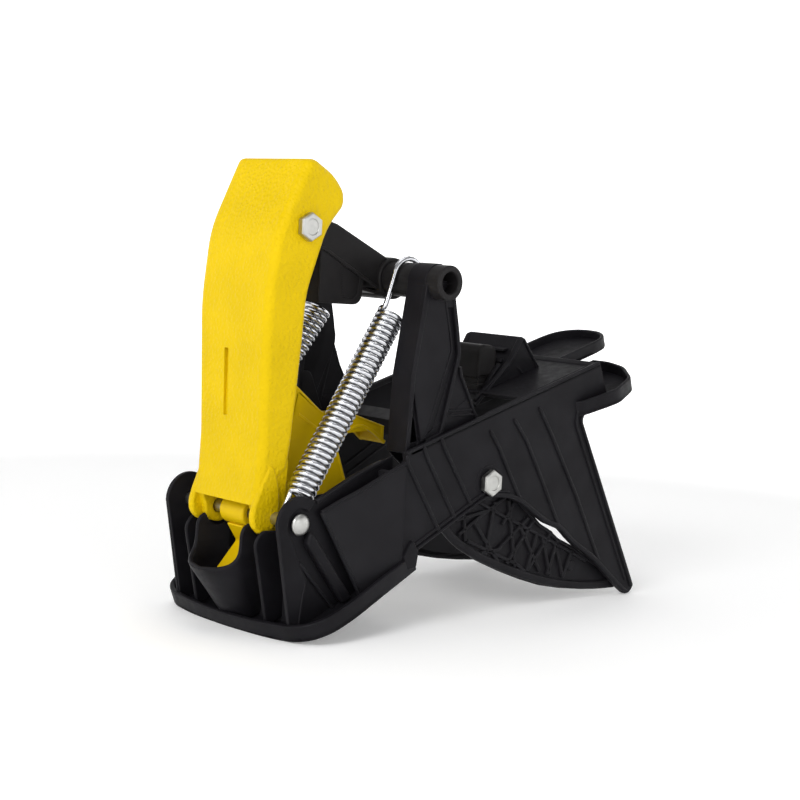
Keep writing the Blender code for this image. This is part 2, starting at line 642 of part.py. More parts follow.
def make_front_pin():
    """A plain pin with a slotted domed head on the left end and a domed cap on the right end."""
    seat = FRONT_HALF - PIN_RECESS + GAP
    joint = FRONT_HALF - WALL
    for side, name in ((-1, "front_pin"), (1, "front_pin_cap")):
        rim = rod("rim", PEDAL_PIN, 5.7 * MM, seat, seat + 0.8 * MM, 32)
        crown = rod("crown", PEDAL_PIN, 5.7 * MM, seat + 0.7 * MM, seat + 2.4 * MM, 32, top_radius=3.0 * MM)
        if side < 0:
            for piece in (rim, crown):
                piece.data.transform(Matrix.Scale(-1, 4, (0, 1, 0)))
                piece.data.flip_normals()
            shank = rod("pin_shank", PEDAL_PIN, PIN_RADIUS, -seat - 0.4 * MM, joint - GAP, 32)
        else:
            shank = rod("cap_stub", PEDAL_PIN, PIN_RADIUS, joint, seat + 0.4 * MM, 32)
        slot_y = sorted((side * (seat + 1.6 * MM), side * (seat + 4.0 * MM)))
        slot_x = (PEDAL_PIN[0] - 9 * MM, PEDAL_PIN[0] + 9 * MM)
        slot = box("slot", slot_x, slot_y, (PEDAL_PIN[1] - 0.7 * MM, PEDAL_PIN[1] + 0.7 * MM))
        finish_part(cut(unite(shank, rim, crown), slot), name, STEEL, JAW_AXIS)


# --- Springs ---------------------------------------------------------------------------------------------

def wire(name, points):
    curve = bpy.data.curves.new(name, "CURVE")
    curve.dimensions = "3D"
    curve.bevel_depth = WIRE_RADIUS
    curve.bevel_resolution = 1
    curve.use_fill_caps = True
    spline = curve.splines.new("POLY")
    spline.points.add(len(points) - 1)
    for target, point in zip(spline.points, points):
        target.co = (*point, 1.0)
    return curve_to_mesh(bpy.data.objects.new(name, curve), Matrix.Identity(4))


def make_spring(side, word):
    low = Vector((PEDAL_PIN[0], side * SPRING_Y_LOW, PEDAL_PIN[1]))
    high = Vector((TUBE_AXIS[0], side * SPRING_Y_HIGH, TUBE_AXIS[1]))
    along = (high - low).normalized()
    climb = atan2(high.z - low.z, high.x - low.x)
    turn = along.to_track_quat("Z", "Y").to_matrix().to_4x4()

    def cylinder(name, radius, start, length):
        mesh = bpy.data.meshes.new(name)
        work = bmesh.new()
        middle = Matrix.Translation(low + along * (start + length / 2))
        bmesh.ops.create_cone(
            work, cap_ends=True, segments=20, radius1=radius, radius2=radius, depth=length,
            matrix=middle @ turn,
        )
        work.to_mesh(mesh)
        work.free()
        return mesh_object(name, mesh)

    coil = cylinder("coil", SPRING_RADIUS, COIL_START, COIL_LENGTH)
    bore = cylinder("coil_bore", SPRING_RADIUS - 2 * WIRE_RADIUS, COIL_START + 4 * MM, COIL_LENGTH)
    cut(coil, bore)

    def hook(centre, radius, facing, joint):
        """A round eye about Y, open towards facing, and a shank from it to the middle of the coil's end."""
        points = []
        for i in range(15):
            angle = facing + radians(30 + 300 * i / 14)
            points.append(centre + Vector((radius * cos(angle), 0, radius * sin(angle))))
        return points + [joint]

    eye_low = PIN_RADIUS + GAP + WIRE_RADIUS
    start = low + along * (COIL_START + 2 * MM)
    lower = wire("lower_hook", hook(low, eye_low, climb, start))
    finish_part(unite(coil, lower), "spring_" + word + "_coil", STEEL, PEDAL_AXIS)
    eye_high = TUBE_RADIUS + GAP + WIRE_RADIUS
    end = low + along * (COIL_START + COIL_LENGTH + GAP + 0.2 * MM)
    upper = wire("upper_hook", hook(high, eye_high, climb + pi, end))
    finish_part(upper, "spring_" + word + "_hook", STEEL, PEDAL_AXIS)


def build():
    make_front_jaw_body()
    make_latch_box()
    make_rear_jaw_frame()
    make_cross_tube()
    make_pedal()
    make_trigger()
    make_toggle_link()
    make_latch_catch()
    make_front_pin()
    make_link_hardware()
    for side, word in ((-1, "left"), (1, "right")):
        make_pivot_hardware(side, word)
        make_spring(side, word)
    for helper in list(CUTTERS.objects):
        bpy.data.objects.remove(helper)


build()
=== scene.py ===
"""Looks for the foot-set mole trap: moulded plastic, zinc steel, wound springs, studio light and camera.

Outlines are (x, z) in millimetres from the jaw pivot, and widths are distances from the middle plane.
"""
import json
from functools import partial
from math import cos, pi, radians, sin, sqrt

import bmesh
import bpy
from mathutils import Matrix, Vector

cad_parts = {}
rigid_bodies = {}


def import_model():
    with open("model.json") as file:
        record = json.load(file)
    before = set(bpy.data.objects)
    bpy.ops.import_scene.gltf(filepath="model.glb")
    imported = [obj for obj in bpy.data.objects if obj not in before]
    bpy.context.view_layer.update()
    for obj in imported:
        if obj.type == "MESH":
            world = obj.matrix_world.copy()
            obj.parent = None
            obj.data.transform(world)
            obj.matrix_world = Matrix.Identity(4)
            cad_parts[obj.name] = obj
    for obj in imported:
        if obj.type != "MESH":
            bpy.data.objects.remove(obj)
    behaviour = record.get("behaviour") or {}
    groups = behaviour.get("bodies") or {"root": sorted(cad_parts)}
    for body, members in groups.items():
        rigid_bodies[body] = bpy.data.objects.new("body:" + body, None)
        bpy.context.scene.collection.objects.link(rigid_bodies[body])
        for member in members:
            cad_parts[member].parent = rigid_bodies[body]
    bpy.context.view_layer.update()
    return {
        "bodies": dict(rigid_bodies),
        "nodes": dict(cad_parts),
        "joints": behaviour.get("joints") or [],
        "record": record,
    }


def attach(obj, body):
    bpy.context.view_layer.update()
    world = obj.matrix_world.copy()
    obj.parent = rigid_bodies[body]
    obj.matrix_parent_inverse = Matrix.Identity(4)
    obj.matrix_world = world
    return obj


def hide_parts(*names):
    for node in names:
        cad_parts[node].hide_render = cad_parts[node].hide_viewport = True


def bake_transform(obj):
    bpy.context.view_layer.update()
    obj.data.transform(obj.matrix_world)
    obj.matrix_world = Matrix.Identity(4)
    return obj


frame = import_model()

MM = 0.001
JOINTS = {joint["name"]: joint for joint in frame["joints"]}
PIVOT = Vector(JOINTS["rear_jaw_hinge"]["pos_m"])
PIN = (Vector(JOINTS["pedal_hinge"]["pos_m"]) - PIVOT) / MM
TUBE = (Vector(JOINTS["toggle_hinge"]["pos_m"]) - PIVOT) / MM
PIN_XZ = (PIN.x, PIN.z)
TUBE_XZ = (TUBE.x, TUBE.z)
LINK_BOLT = (-99.5, 115.0)

BODY_HALF = 49.0
FRONT_HALF = 41.0
WALL = 2.5
FRAME_HALF = 45.2
FRAME_PLATE = 2.7
LEG_DEPTH = 13.0
PEDAL_HALF = 22.5
PEDAL_FLARE = 0.00095
PEDAL_TOP_HALF = 25.3
PEDAL_WALL = 3.0
LINK_HALF = 13.0
TRIGGER_HALF = 8.5
TONGUE_HALF = 5.5
TUBE_RADIUS = 8.0
TUBE_HALF_LENGTH = 52.0
PIN_RADIUS = 3.0
HEX_FLATS = 11.1
DECK_ANGLE = radians(16.8)
DECK_CORNER = (76.1, 56.3)
FOOT_ANGLE = radians(22.3)
FOOT_REAR = (-45.6, -35.0)
EDGE = 0.45
BORE_GAP = 0.15
LINK_BORE = 7.0
THREAD_RADIUS = 3.2
NUT_THICKNESS = 5.4
SHARP_ANGLE = radians(38.0)
WELD = 0.002 * MM
GROUND = 0.00002


# --- Meshes ---------------------------------------------------------------------------------------

SIDE = Matrix.Translation(PIVOT) @ Matrix.Scale(MM, 4) @ Matrix.Rotation(pi / 2, 4, "X")
LEVEL = Matrix.Translation(PIVOT) @ Matrix.Scale(MM, 4)


def slope(corner, angle):
    """The frame of a plane that slopes up to the rear: local (along, y) and the normal."""
    place = Matrix.Translation((corner[0], 0.0, corner[1]))
    return LEVEL @ place @ Matrix.Rotation(-angle, 4, "Y")


DECK = slope(DECK_CORNER, DECK_ANGLE)
FOOT = slope(FOOT_REAR, FOOT_ANGLE)


def arc(centre, radius, start, end, steps):
    """Points on an arc between two angles in degrees."""
    points = []
    for i in range(steps + 1):
        angle = radians(start + (end - start) * i / steps)
        points.append((centre[0] + radius * cos(angle), centre[1] + radius * sin(angle)))
    return points


def circle(centre, radius):
    return arc(centre, radius, 0, 350, 35)


def smooth_outline(points, radius, steps=3, closed=True):
    """Rounds each corner of an outline with a short curve."""
    count = len(points)
    result = []
    for i, point in enumerate(points):
        corner = Vector(point)
        if not closed and i in (0, count - 1):
            result.append(tuple(corner))
            continue
        before = Vector(points[i - 1]) - corner
        after = Vector(points[(i + 1) % count]) - corner
        reach = min(radius, before.length * 0.45, after.length * 0.45)
        start = corner + before.normalized() * reach
        end = corner + after.normalized() * reach
        for k in range(steps + 1):
            t = k / steps
            spot = start * (1 - t) ** 2 + corner * 2 * t * (1 - t) + end * t ** 2
            result.append(tuple(spot))
    return result


def smooth_line(points, radius, steps=4):
    """The same for an open line, whose ends stay where they are."""
    return smooth_outline(points, radius, steps, False)


def ribbon(points, width, offset=0.0):
    """A closed outline of that width along an open line, moved sideways by offset."""
    left, right = [], []
    count = len(points)
    for i, point in enumerate(points):
        here = Vector(point)
        before = (here - Vector(points[max(i - 1, 0)])).normalized() if i else None
        after = (Vector(points[min(i + 1, count - 1)]) - here).normalized() if i < count - 1 else None
        along = ((before or after) + (after or before)).normalized()
        across = Vector((-along.y, along.x))
        stretch = 1.0
        if before and after:
            stretch = 1.0 / max(0.5, across.dot(Vector((-before.y, before.x))))
        left.append(tuple(here + across * (offset + width / 2) * stretch))
        right.append(tuple(here + across * (offset - width / 2) * stretch))
    return left + right[::-1]


def mirrored(points):
    """Closes a half outline with its mirror image across the middle line."""
    return points + [(a, -b) for a, b in reversed(points) if abs(b) > 1e-9]


def plate(outlines, low, high, place, edge=EDGE, steps=2):
    """Outlines filled (later ones are holes), made thick from low to high, with rounded edges."""
    if isinstance(outlines[0][0], (int, float)):
        outlines = [outlines]
    curve = bpy.data.curves.new("plate", "CURVE")
    curve.dimensions = "2D"
    curve.fill_mode = "BOTH"
    edge = min(edge, (high - low) * 0.45)
    curve.extrude = (high - low) / 2 - edge
    curve.bevel_depth = edge
    curve.bevel_resolution = steps
    curve.offset = -edge
    for points in outlines:
        spline = curve.splines.new("POLY")
        spline.points.add(len(points) - 1)
        for target, (a, b) in zip(spline.points, points):
            target.co = (a, b, 0.0, 1.0)
        spline.use_cyclic_u = True
    obj = bpy.data.objects.new("plate", curve)
    bpy.context.scene.collection.objects.link(obj)
    mesh = bpy.data.meshes.new_from_object(obj.evaluated_get(bpy.context.evaluated_depsgraph_get()))
    bpy.data.objects.remove(obj)
    mesh.transform(place @ Matrix.Translation((0, 0, (low + high) / 2)))
    return mesh


def side_plate(outlines, y_low, y_high, edge=EDGE, steps=2):
    """A plate that stands in the side view, from y_low to y_high."""
    return plate(outlines, -y_high, -y_low, SIDE, edge, steps)


def on_sides(outlines, inside, outside, edge=EDGE):
    """The same plate on the left and on the right."""
    return [side_plate(outlines, inside, outside, edge), side_plate(outlines, -outside, -inside, edge)]


def one_side(side, outlines, inside, outside, edge=EDGE, steps=2):
    """A plate on the left (-1) or right (1) between two distances from the middle plane."""
    low, high = sorted((side * inside, side * outside))
    return side_plate(outlines, low, high, edge, steps)


def rings_mesh(rings):
    """A closed skin through rings of points with the same count, capped at both ends."""
    work = bmesh.new()
    rows = [[work.verts.new(point) for point in ring] for ring in rings]
    count = len(rows[0])
    for row, after in zip(rows, rows[1:]):
        for i in range(count):
            work.faces.new((row[i], row[(i + 1) % count], after[(i + 1) % count], after[i]))
    work.faces.new(rows[0][::-1])
    work.faces.new(rows[-1])
    bmesh.ops.recalc_face_normals(work, faces=work.faces)
    mesh = bpy.data.meshes.new("rings")
    work.to_mesh(mesh)
    work.free()
    return mesh


def turned(profile, centre, side=1, count=48):
    """Turns a profile of (y, radius) round an axis along Y."""
    rings = []
    for y, radius in profile:
        ring = []
        for i in range(count):
            angle = 2 * pi * i / count
            spot = Vector((centre[0] + radius * cos(angle), side * y, centre[1] + radius * sin(angle)))
            ring.append(LEVEL @ spot)
        rings.append(ring)
    return rings_mesh(rings)


def tube_mesh(points, radius, sides=10):
    """A round wire through a list of points, in millimetres from the pivot."""
    rings = []
    normal = None
    for i, point in enumerate(points):
        here = Vector(point)
        along = Vector(points[min(i + 1, len(points) - 1)]) - Vector(points[max(i - 1, 0)])
        along.normalize()
        if normal is None:
            normal = along.orthogonal().normalized()
        normal = (normal - along * normal.dot(along)).normalized()
        other = along.cross(normal)
        ring = []
        for k in range(sides):
            angle = 2 * pi * k / sides
            ring.append(LEVEL @ (here + normal * radius * cos(angle) + other * radius * sin(angle)))
        rings.append(ring)
    return rings_mesh(rings)


def join(name, meshes, material, body, node):
    """Joins meshes into one piece that rides on a body and replaces one CAD node."""
    work = bmesh.new()
    for mesh in meshes:
        work.from_mesh(mesh)
        bpy.data.meshes.remove(mesh)
    bmesh.ops.remove_doubles(work, verts=work.verts, dist=WELD)
    bmesh.ops.dissolve_degenerate(work, edges=work.edges, dist=WELD)
    mesh = bpy.data.meshes.new(name)
    work.to_mesh(mesh)
    work.free()
    mesh.shade_smooth()
    mesh.set_sharp_from_angle(angle=SHARP_ANGLE)
    mesh.materials.append(material)
    piece = bpy.data.objects.new(name, mesh)
    bpy.context.scene.collection.objects.link(piece)
    weighted = piece.modifiers.new("flat faces", "WEIGHTED_NORMAL")
    weighted.keep_sharp = True
    weighted.mode = "FACE_AREA"
    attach(piece, body)
    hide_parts(node)


def boolean(base, tools, operation="DIFFERENCE"):
    """Applies booleans to a mesh and returns the result as a mesh."""
    obj = bpy.data.objects.new("base", base)
    bpy.context.scene.collection.objects.link(obj)
    helpers = []
    for tool in tools:
        helper = bpy.data.objects.new("tool", tool)
        bpy.context.scene.collection.objects.link(helper)
        helpers.append(helper)
        modifier = obj.modifiers.new("cut", "BOOLEAN")
        modifier.operation = operation
        modifier.solver = "EXACT"
        modifier.object = helper
    bpy.context.view_layer.update()
    mesh = bpy.data.meshes.new_from_object(obj.evaluated_get(bpy.context.evaluated_depsgraph_get()))
    for helper in [obj, *helpers]:
        bpy.data.objects.remove(helper)
    return mesh


# --- Materials ------------------------------------------------------------------------------------

class Nodes:
    """A short way to wire a node-based material."""

    def __init__(self, name):
        self.material = bpy.data.materials.new(name)
        self.material.use_nodes = True
        self.tree = self.material.node_tree
        self.shader = self.tree.nodes["Principled BSDF"]
        self.position = self.add("ShaderNodeTexCoord").outputs["Object"]

    def add(self, kind, **values):
        node = self.tree.nodes.new(kind)
        for key, value in values.items():
            if hasattr(node, key):
                setattr(node, key, value)
            else:
                node.inputs[key.replace("_", " ")].default_value = value
        return node

    def link(self, source, target):
        self.tree.links.new(source, target)

    def noise(self, scale, detail=2.0, roughness=0.5):
        node = self.add("ShaderNodeTexNoise", Scale=scale, Detail=detail, Roughness=roughness)
        self.link(self.position, node.inputs["Vector"])
        return node.outputs["Fac"]

    def span(self, source, low, high, from_low=0.0, from_high=1.0):
        node = self.add("ShaderNodeMapRange")
        node.inputs["From Min"].default_value = from_low
        node.inputs["From Max"].default_value = from_high
        node.inputs["To Min"].default_value = low
        node.inputs["To Max"].default_value = high
        self.link(source, node.inputs["Value"])
        return node.outputs["Result"]

    def bump(self, height, distance, normal=None):
        node = self.add("ShaderNodeBump", Strength=1.0, Distance=distance)
        self.link(height, node.inputs["Height"])
        if normal:
            self.link(normal, node.inputs["Normal"])
        return node.outputs["Normal"]


def mix_colour(nodes, factor, first, second):
    """Mixes two colours, each a tuple or a socket."""
    node = nodes.tree.nodes.new("ShaderNodeMix")
    node.data_type = "RGBA"
    nodes.link(factor, node.inputs[0])
    for value, target in ((first, node.inputs[6]), (second, node.inputs[7])):
        if isinstance(value, tuple):
            target.default_value = (*value, 1.0)
        else:
            nodes.link(value, target)
    return node.outputs[2]


CLOUD_SCALE = 60.0
PLASTIC_SPECULAR = 0.085
LEATHER_SPECULAR = 0.07


def cloudy(nodes, cloud, dark, light):
    return mix_colour(nodes, nodes.span(cloud, 0.0, 1.0, 0.35, 0.65), dark, light)


def plastic(name, dark, light, roughness, grain_mm, grain_depth):
    """Moulded plastic: cloudy colour, uneven gloss, fine grain, and a painted highlight that makes convex
    edges paler.
    """
    nodes = Nodes(name)
    cloud = nodes.noise(CLOUD_SCALE, 3.0)
    colour = cloudy(nodes, cloud, dark, light)
    # Painted highlight: convex edges, found by pointiness, are mixed towards a paler colour.
    edges = nodes.add("ShaderNodeNewGeometry").outputs["Pointiness"]
    edge_highlight = nodes.span(edges, 0.0, 0.5, 0.52, 0.62)
    pale = tuple(min(1.0, channel * 1.25 + 0.012) for channel in light)
    nodes.link(mix_colour(nodes, edge_highlight, colour, pale), nodes.shader.inputs["Base Color"])
    nodes.shader.inputs["Specular IOR Level"].default_value = PLASTIC_SPECULAR
    smear = nodes.noise(CLOUD_SCALE * 4, 2.0)
    nodes.link(nodes.span(smear, *roughness, 0.3, 0.7), nodes.shader.inputs["Roughness"])
    grain = nodes.noise(1.0 / (grain_mm * MM), 2.0, 0.6)
    nodes.link(nodes.bump(grain, grain_depth * MM), nodes.shader.inputs["Normal"])
    return nodes.material


def leather_plastic(name, dark, light):
    """Yellow plastic with a moulded leather grain: pebbles between thin creases."""
    nodes = Nodes(name)
    cloud = nodes.noise(45.0, 3.0)
    nodes.link(cloudy(nodes, cloud, dark, light), nodes.shader.inputs["Base Color"])
    warp = nodes.add("ShaderNodeTexNoise", Scale=500.0, Detail=1.0)
    nodes.link(nodes.position, warp.inputs["Vector"])
    shift = nodes.add("ShaderNodeVectorMath", operation="MULTIPLY_ADD")
    nodes.link(warp.outputs["Color"], shift.inputs[0])
    shift.inputs[1].default_value = (0.0012, 0.0012, 0.0012)
    nodes.link(nodes.position, shift.inputs[2])
    cells = nodes.add("ShaderNodeTexVoronoi", Scale=620.0)
    cells.feature = "SMOOTH_F1"
    nodes.link(shift.outputs["Vector"], cells.inputs["Vector"])
    pebbles = nodes.span(cells.outputs["Distance"], 1.0, 0.0, 0.0, 0.7)
    first = nodes.bump(pebbles, 0.3 * MM)
    fine = nodes.bump(nodes.noise(2600.0, 1.0), 0.06 * MM, normal=first)
    nodes.link(fine, nodes.shader.inputs["Normal"])
    nodes.shader.inputs["Specular IOR Level"].default_value = LEATHER_SPECULAR
    nodes.link(nodes.span(cloud, 0.34, 0.44, 0.3, 0.7), nodes.shader.inputs["Roughness"])
    return nodes.material


def steel(name, colour, roughness, scale):
    """Zinc plating: bright and duller patches with uneven gloss and fine scratches."""
    nodes = Nodes(name)
    nodes.shader.inputs["Metallic"].default_value = 1.0
    patches = nodes.noise(scale, 3.0)
    dull = tuple(channel * 0.82 for channel in colour)
    nodes.link(cloudy(nodes, patches, dull, colour), nodes.shader.inputs["Base Color"])
    nodes.link(nodes.span(patches, *roughness, 0.3, 0.7), nodes.shader.inputs["Roughness"])
    scratch = nodes.noise(scale * 4, 2.0)
    nodes.link(nodes.bump(scratch, 0.002 * MM), nodes.shader.inputs["Normal"])
    return nodes.material


BLACK = plastic(
    "black_moulded", (0.0065, 0.006, 0.0075), (0.010, 0.0095, 0.0115), (0.40, 0.54), 0.35, 0.035,
)
BLACK_LIGHT = plastic(
    "black_smooth", (0.0095, 0.009, 0.0092), (0.014, 0.013, 0.0135), (0.34, 0.46), 0.5, 0.02,
)
YELLOW = leather_plastic("yellow_grained", (0.62, 0.425, 0.0015), (0.67, 0.46, 0.002))
YELLOW_SMOOTH = plastic(
    "yellow_smooth", (0.63, 0.425, 0.0015), (0.68, 0.46, 0.002), (0.30, 0.42), 0.5, 0.02,
)
STEEL = steel("zinc_bolt", (0.52, 0.52, 0.50), (0.30, 0.42), 260.0)
SPRING = steel("zinc_wire", (0.66, 0.67, 0.70), (0.16, 0.26), 500.0)


# --- Front jaw body -------------------------------------------------------------------------------

SIDE_OUTLINE = [
    (-54.5, -38.5), (-45.6, -33.0), (-45.6, -28.5), (-2.0, -7.4), (3.0, -7.2), (14.0, -8.2), (23.0, -11.5),
    (33.0, -17.6), (41.6, -22.6), (53.0, -26.6), (59.1, -31.6), (65.3, -36.1), (72.9, -40.1), (79.1, -43.8),
    (90.0, -52.0), (101.6, -60.8), (107.5, -64.8), (112.0, -64.8), (115.2, -61.0), (65.5, 27.5),
    (67.0, 33.0), (85.0, 36.0), (76.1, 56.3), (-54.5, 16.9),
]
WAVY_EDGE = [*SIDE_OUTLINE[2:16], (107.5, -64.6)]
INNER_OUTLINE = [
    (-94.5, -3.0), (-90.0, -0.4), (-83.6, 3.6), (-60.0, 12.4), (-54.0, 14.2), (-54.0, -38.0),
    (-111.0, -62.0),
]
LOBE = 12.4


def make_sides():
    """The outer walls, and the inner walls with their raised front panels round the pin."""
    outer = smooth_outline(SIDE_OUTLINE, 1.5)
    parts = on_sides(outer, BODY_HALF - WALL, BODY_HALF)
    lobe = INNER_OUTLINE + arc(PIN_XZ, LOBE, 180, 55, 16)
    parts += on_sides(lobe, FRONT_HALF - WALL, FRONT_HALF - 1.3)
    panel = [(-112.0, -59.8)] + arc(PIN_XZ, LOBE, 180, 50, 16) + arc(PIN_XZ, 7.0, 50, 232, 18)
    panel += [(-108.4, -29.0), (-103.2, -37.9), (-104.8, -46.6), (-106.2, -58.8)]
    parts += on_sides(panel, FRONT_HALF - 1.6, FRONT_HALF, 0.6)
    ridge = [(-107.8, -30.3), (-100.5, -38.1), (-86.7, -52.6)]
    parts += on_sides(ribbon(ridge, 1.5), FRONT_HALF - 1.6, FRONT_HALF + 0.4, 0.6)
    foot_rib = [(-104.2, -39.6), (-105.6, -46.6), (-107.0, -58.8)]
    parts += on_sides(ribbon(foot_rib, 1.2), FRONT_HALF - 1.6, FRONT_HALF + 0.3, 0.5)
    top = [(-99.0, -4.4), (-92.7, -1.2), (-83.6, 3.0), (-75.5, 6.6), (-61.0, 11.6)]
    lip = ribbon(smooth_line(top, 6), 1.6, 0.3)
    parts += on_sides(lip, FRONT_HALF - WALL - 0.2, FRONT_HALF - 0.2, 0.5)
    return parts


FLARE_PLAN = [
    (-104.5, 39.0), (-102.0, 41.1), (-54.4, 48.8), (-50.0, 48.9), (-50.0, 46.6), (-54.4, 46.3),
]
FLARE_PROFILE = [
    (-50.0, -37.0), (-75.0, -47.5), (-97.5, -8.4), (-88.7, -4.1), (-78.5, 0.3), (-68.2, 5.4), (-56.6, 11.0),
    (-54.6, 12.2), (-54.4, 16.7), (-50.0, 17.8),
]


def flare_y(x):
    """How far out the flare's outer face is at x."""
    (x_front, y_front), (x_rear, y_rear) = FLARE_PLAN[1:3]
    t = min(max((x - x_front) / (x_rear - x_front), 0.0), 1.0)
    return y_front + (y_rear - y_front) * t


def flare_lip(line, side):
    """A rounded bead along an edge of the flare."""
    points = []
    for (a, b), (c, d) in zip(line, line[1:]):
        for k in range(8):
            t = k / 8
            points.append((a + (c - a) * t, b + (d - b) * t))
    points.append(line[-1])
    return tube_mesh([(x, side * (flare_y(x) - 0.2), z) for x, z in points], 0.95)


def make_flare():
    """The outer wall's flared front part, as a strip cut to its profile, with rounded lips."""
    parts = []
    for side in (-1, 1):
        strip = plate([(a, side * b) for a, b in FLARE_PLAN], -62.0, 20.0, LEVEL, 0.1)
        profile = side_plate(smooth_outline(FLARE_PROFILE, 1.2), -60.0, 60.0, 0.0)
        parts.append(boolean(strip, [profile], "INTERSECT"))
        for line in (FLARE_PROFILE[1:3], FLARE_PROFILE[2:8]):
            parts.append(flare_lip(line, side))
    return parts


RIDGES = [
    [(-54.6, 15.6), (-54.3, 12.0), (-31.9, -20.4)],
    [(-44.3, 19.4), (-43.2, 15.5), (-22.0, -15.2)],
    [(-33.6, 22.8), (-32.1, 19.0), (-11.4, -10.0)],
    [(-1.3, 24.8), (6.0, 15.5), (14.0, 3.0), (22.5, -9.5)],
    [(14.8, 29.8), (24.8, 18.4), (38.0, -2.0), (52.0, -24.5)],
    [(32.3, 34.8), (42.8, 20.6), (64.0, -10.5), (85.0, -45.5)],
]


def tapered(points, width, tip):
    """A ridge's outline that starts in a point and reaches its full width after the length tip."""
    start, ahead = Vector(points[0]), Vector(points[1])
    along = (ahead - start).normalized()
    outline = ribbon([tuple(start + along * tip), *points[1:]], width)
    across = Vector((-along.y, along.x)) * width * 0.2
    return [tuple(start + across), *outline, tuple(start - across)]


def make_side_ribs():
    """Ridges, rims and lips on the outer faces of the side walls."""
    parts = []
    root = BODY_HALF - 0.6
    for line in RIDGES:
        shape = tapered(smooth_line(line, 1.5), 1.9, 1.6)
        parts += on_sides(shape, BODY_HALF - 0.5, BODY_HALF + 0.95, 0.7)
    edge = smooth_line(WAVY_EDGE[2:], 3.0, 3)
    parts += on_sides(ribbon(edge, 2.5, 1.25), root, BODY_HALF + 1.4, 0.9)
    edge = smooth_line(WAVY_EDGE[:4], 3.0, 3)
    parts += on_sides(ribbon(edge, 1.3, 0.7), root, BODY_HALF + 1.2, 0.6)
    parts += on_sides(ribbon(edge, 1.2, 3.0), root, BODY_HALF + 0.9, 0.5)
    rear = [(112.6, -61.2), (63.9, 26.8), (64.8, 30.2), (67.8, 31.7), (84.4, 34.7)]
    parts += on_sides(ribbon(smooth_line(rear, 2.0), 1.5), root, BODY_HALF + 1.1, 0.5)
    inner = [(107.2, -57.2), (59.8, 25.9), (61.6, 33.5)]
    parts += on_sides(ribbon(smooth_line(inner, 3.0), 1.1), root, BODY_HALF + 0.9, 0.5)
    top = [(-54.5, 16.2), (76.4, 55.6)]
    parts += on_sides(ribbon(top, 1.2), BODY_HALF - 2.4, BODY_HALF + 0.3, 0.5)
    cross = [(-63.0, 8.0), (-61.2, 8.6), (-61.2, -37.5), (-63.0, -38.5)]
    parts += on_sides(cross, 39.5, 46.0)
    brace = [(-106.4, -21.2), (-103.8, -15.8), (-77.8, -48.2), (-83.2, -50.8)]
    parts += on_sides(smooth_outline(brace, 2.2), 39.2, 43.6, 1.4)
    fin = [(-54.4, -31.0), (-50.4, -24.5), (-49.0, -23.4), (-45.4, -29.0), (-46.4, -36.0), (-52.0, -37.0)]
    parts += on_sides(smooth_outline(fin, 1.0), 48.4, 50.8, 0.7)
    boss = [circle((0.0, 0.0), 8.4), circle((0.0, 0.0), 6.9)]
    parts += on_sides(boss, BODY_HALF - 0.5, BODY_HALF + 0.2, 0.3)
    return parts


def cut_at_ground(mesh):
    """Trims whatever reaches under the ground plane."""
    work = bmesh.new()
    work.from_mesh(mesh)
    bmesh.ops.remove_doubles(work, verts=work.verts, dist=WELD)
    geometry = work.verts[:] + work.edges[:] + work.faces[:]
    cut = bmesh.ops.bisect_plane(
        work, geom=geometry, plane_co=(0, 0, GROUND), plane_no=(0, 0, -1), clear_outer=True,
    )
    edges = [item for item in cut["geom_cut"] if isinstance(item, bmesh.types.BMEdge)]
    if edges:
        bmesh.ops.holes_fill(work, edges=edges)
    work.to_mesh(mesh)
    work.free()
    return mesh


def make_foot():
    """The sloping foot plate with its raised rim."""
    half = [
        (-76.0, 0.0), (-75.0, 22.0), (-72.0, 43.0), (-67.0, 51.0), (-58.0, 55.0), (-45.0, 55.2),
        (-20.0, 52.0), (0.6, 49.7),
    ]
    outer = smooth_outline(mirrored(half), 6.0, 5)
    floor = plate(outer, -2.4, 0.0, FOOT, 0.6)
    rim_half = [*half[:-1], (-1.0, 50.1)]
    line = [(a, -b) for a, b in reversed(rim_half)] + rim_half[1:]
    line = smooth_line(line, 6.0, 5)
    rim = plate(ribbon(line, 2.4, -1.2), -2.3, 5.5, FOOT, 0.8)
    return [cut_at_ground(floor), cut_at_ground(rim)]


def make_front_ribs():
    """Two upright ribs beside the scoop and the cross web behind them."""
    outline = [
        (-112.5, -61.0), (-121.2, -23.0), (-117.0, -17.5), (-101.0, -19.0), (-90.0, -32.0), (-90.0, -52.0),
    ]
    parts = on_sides(smooth_outline(outline, 3.0, 4), 24.0, 26.0, 0.8)
    web = [(-104.0, -59.0), (-104.0, -33.0), (-101.5, -33.0), (-101.5, -58.0)]
    parts.append(side_plate(web, -38.6, 38.6, 0.4))
    return parts


SCOOP_LEVELS = [
    (-66.0, -103.0, -110.5, 8.8), (-50.0, -111.8, -122.3, 13.0), (-38.0, -119.0, -131.6, 16.2),
    (-28.0, -121.0, -135.0, 16.9), (-12.0, -121.0, -138.0, 16.9),
]
SCOOP_LIP = [
    (-131.6, -37.6), (-128.0, -36.2), (-125.0, -34.8), (-122.6, -32.6), (-121.0, -29.8), (-120.5, -26.0),
    (-120.4, -20.5), (-119.2, -18.0), (-116.8, -16.8),
]


def scoop_plan(z):
    """Where the straight sides end, the front's x and the half width, at a height."""
    for low, high in zip(SCOOP_LEVELS, SCOOP_LEVELS[1:]):
        if z <= high[0]:
            t = (z - low[0]) / (high[0] - low[0])
            return [low[k] + (high[k] - low[k]) * t for k in (1, 2, 3)]
    return list(SCOOP_LEVELS[-1][1:])


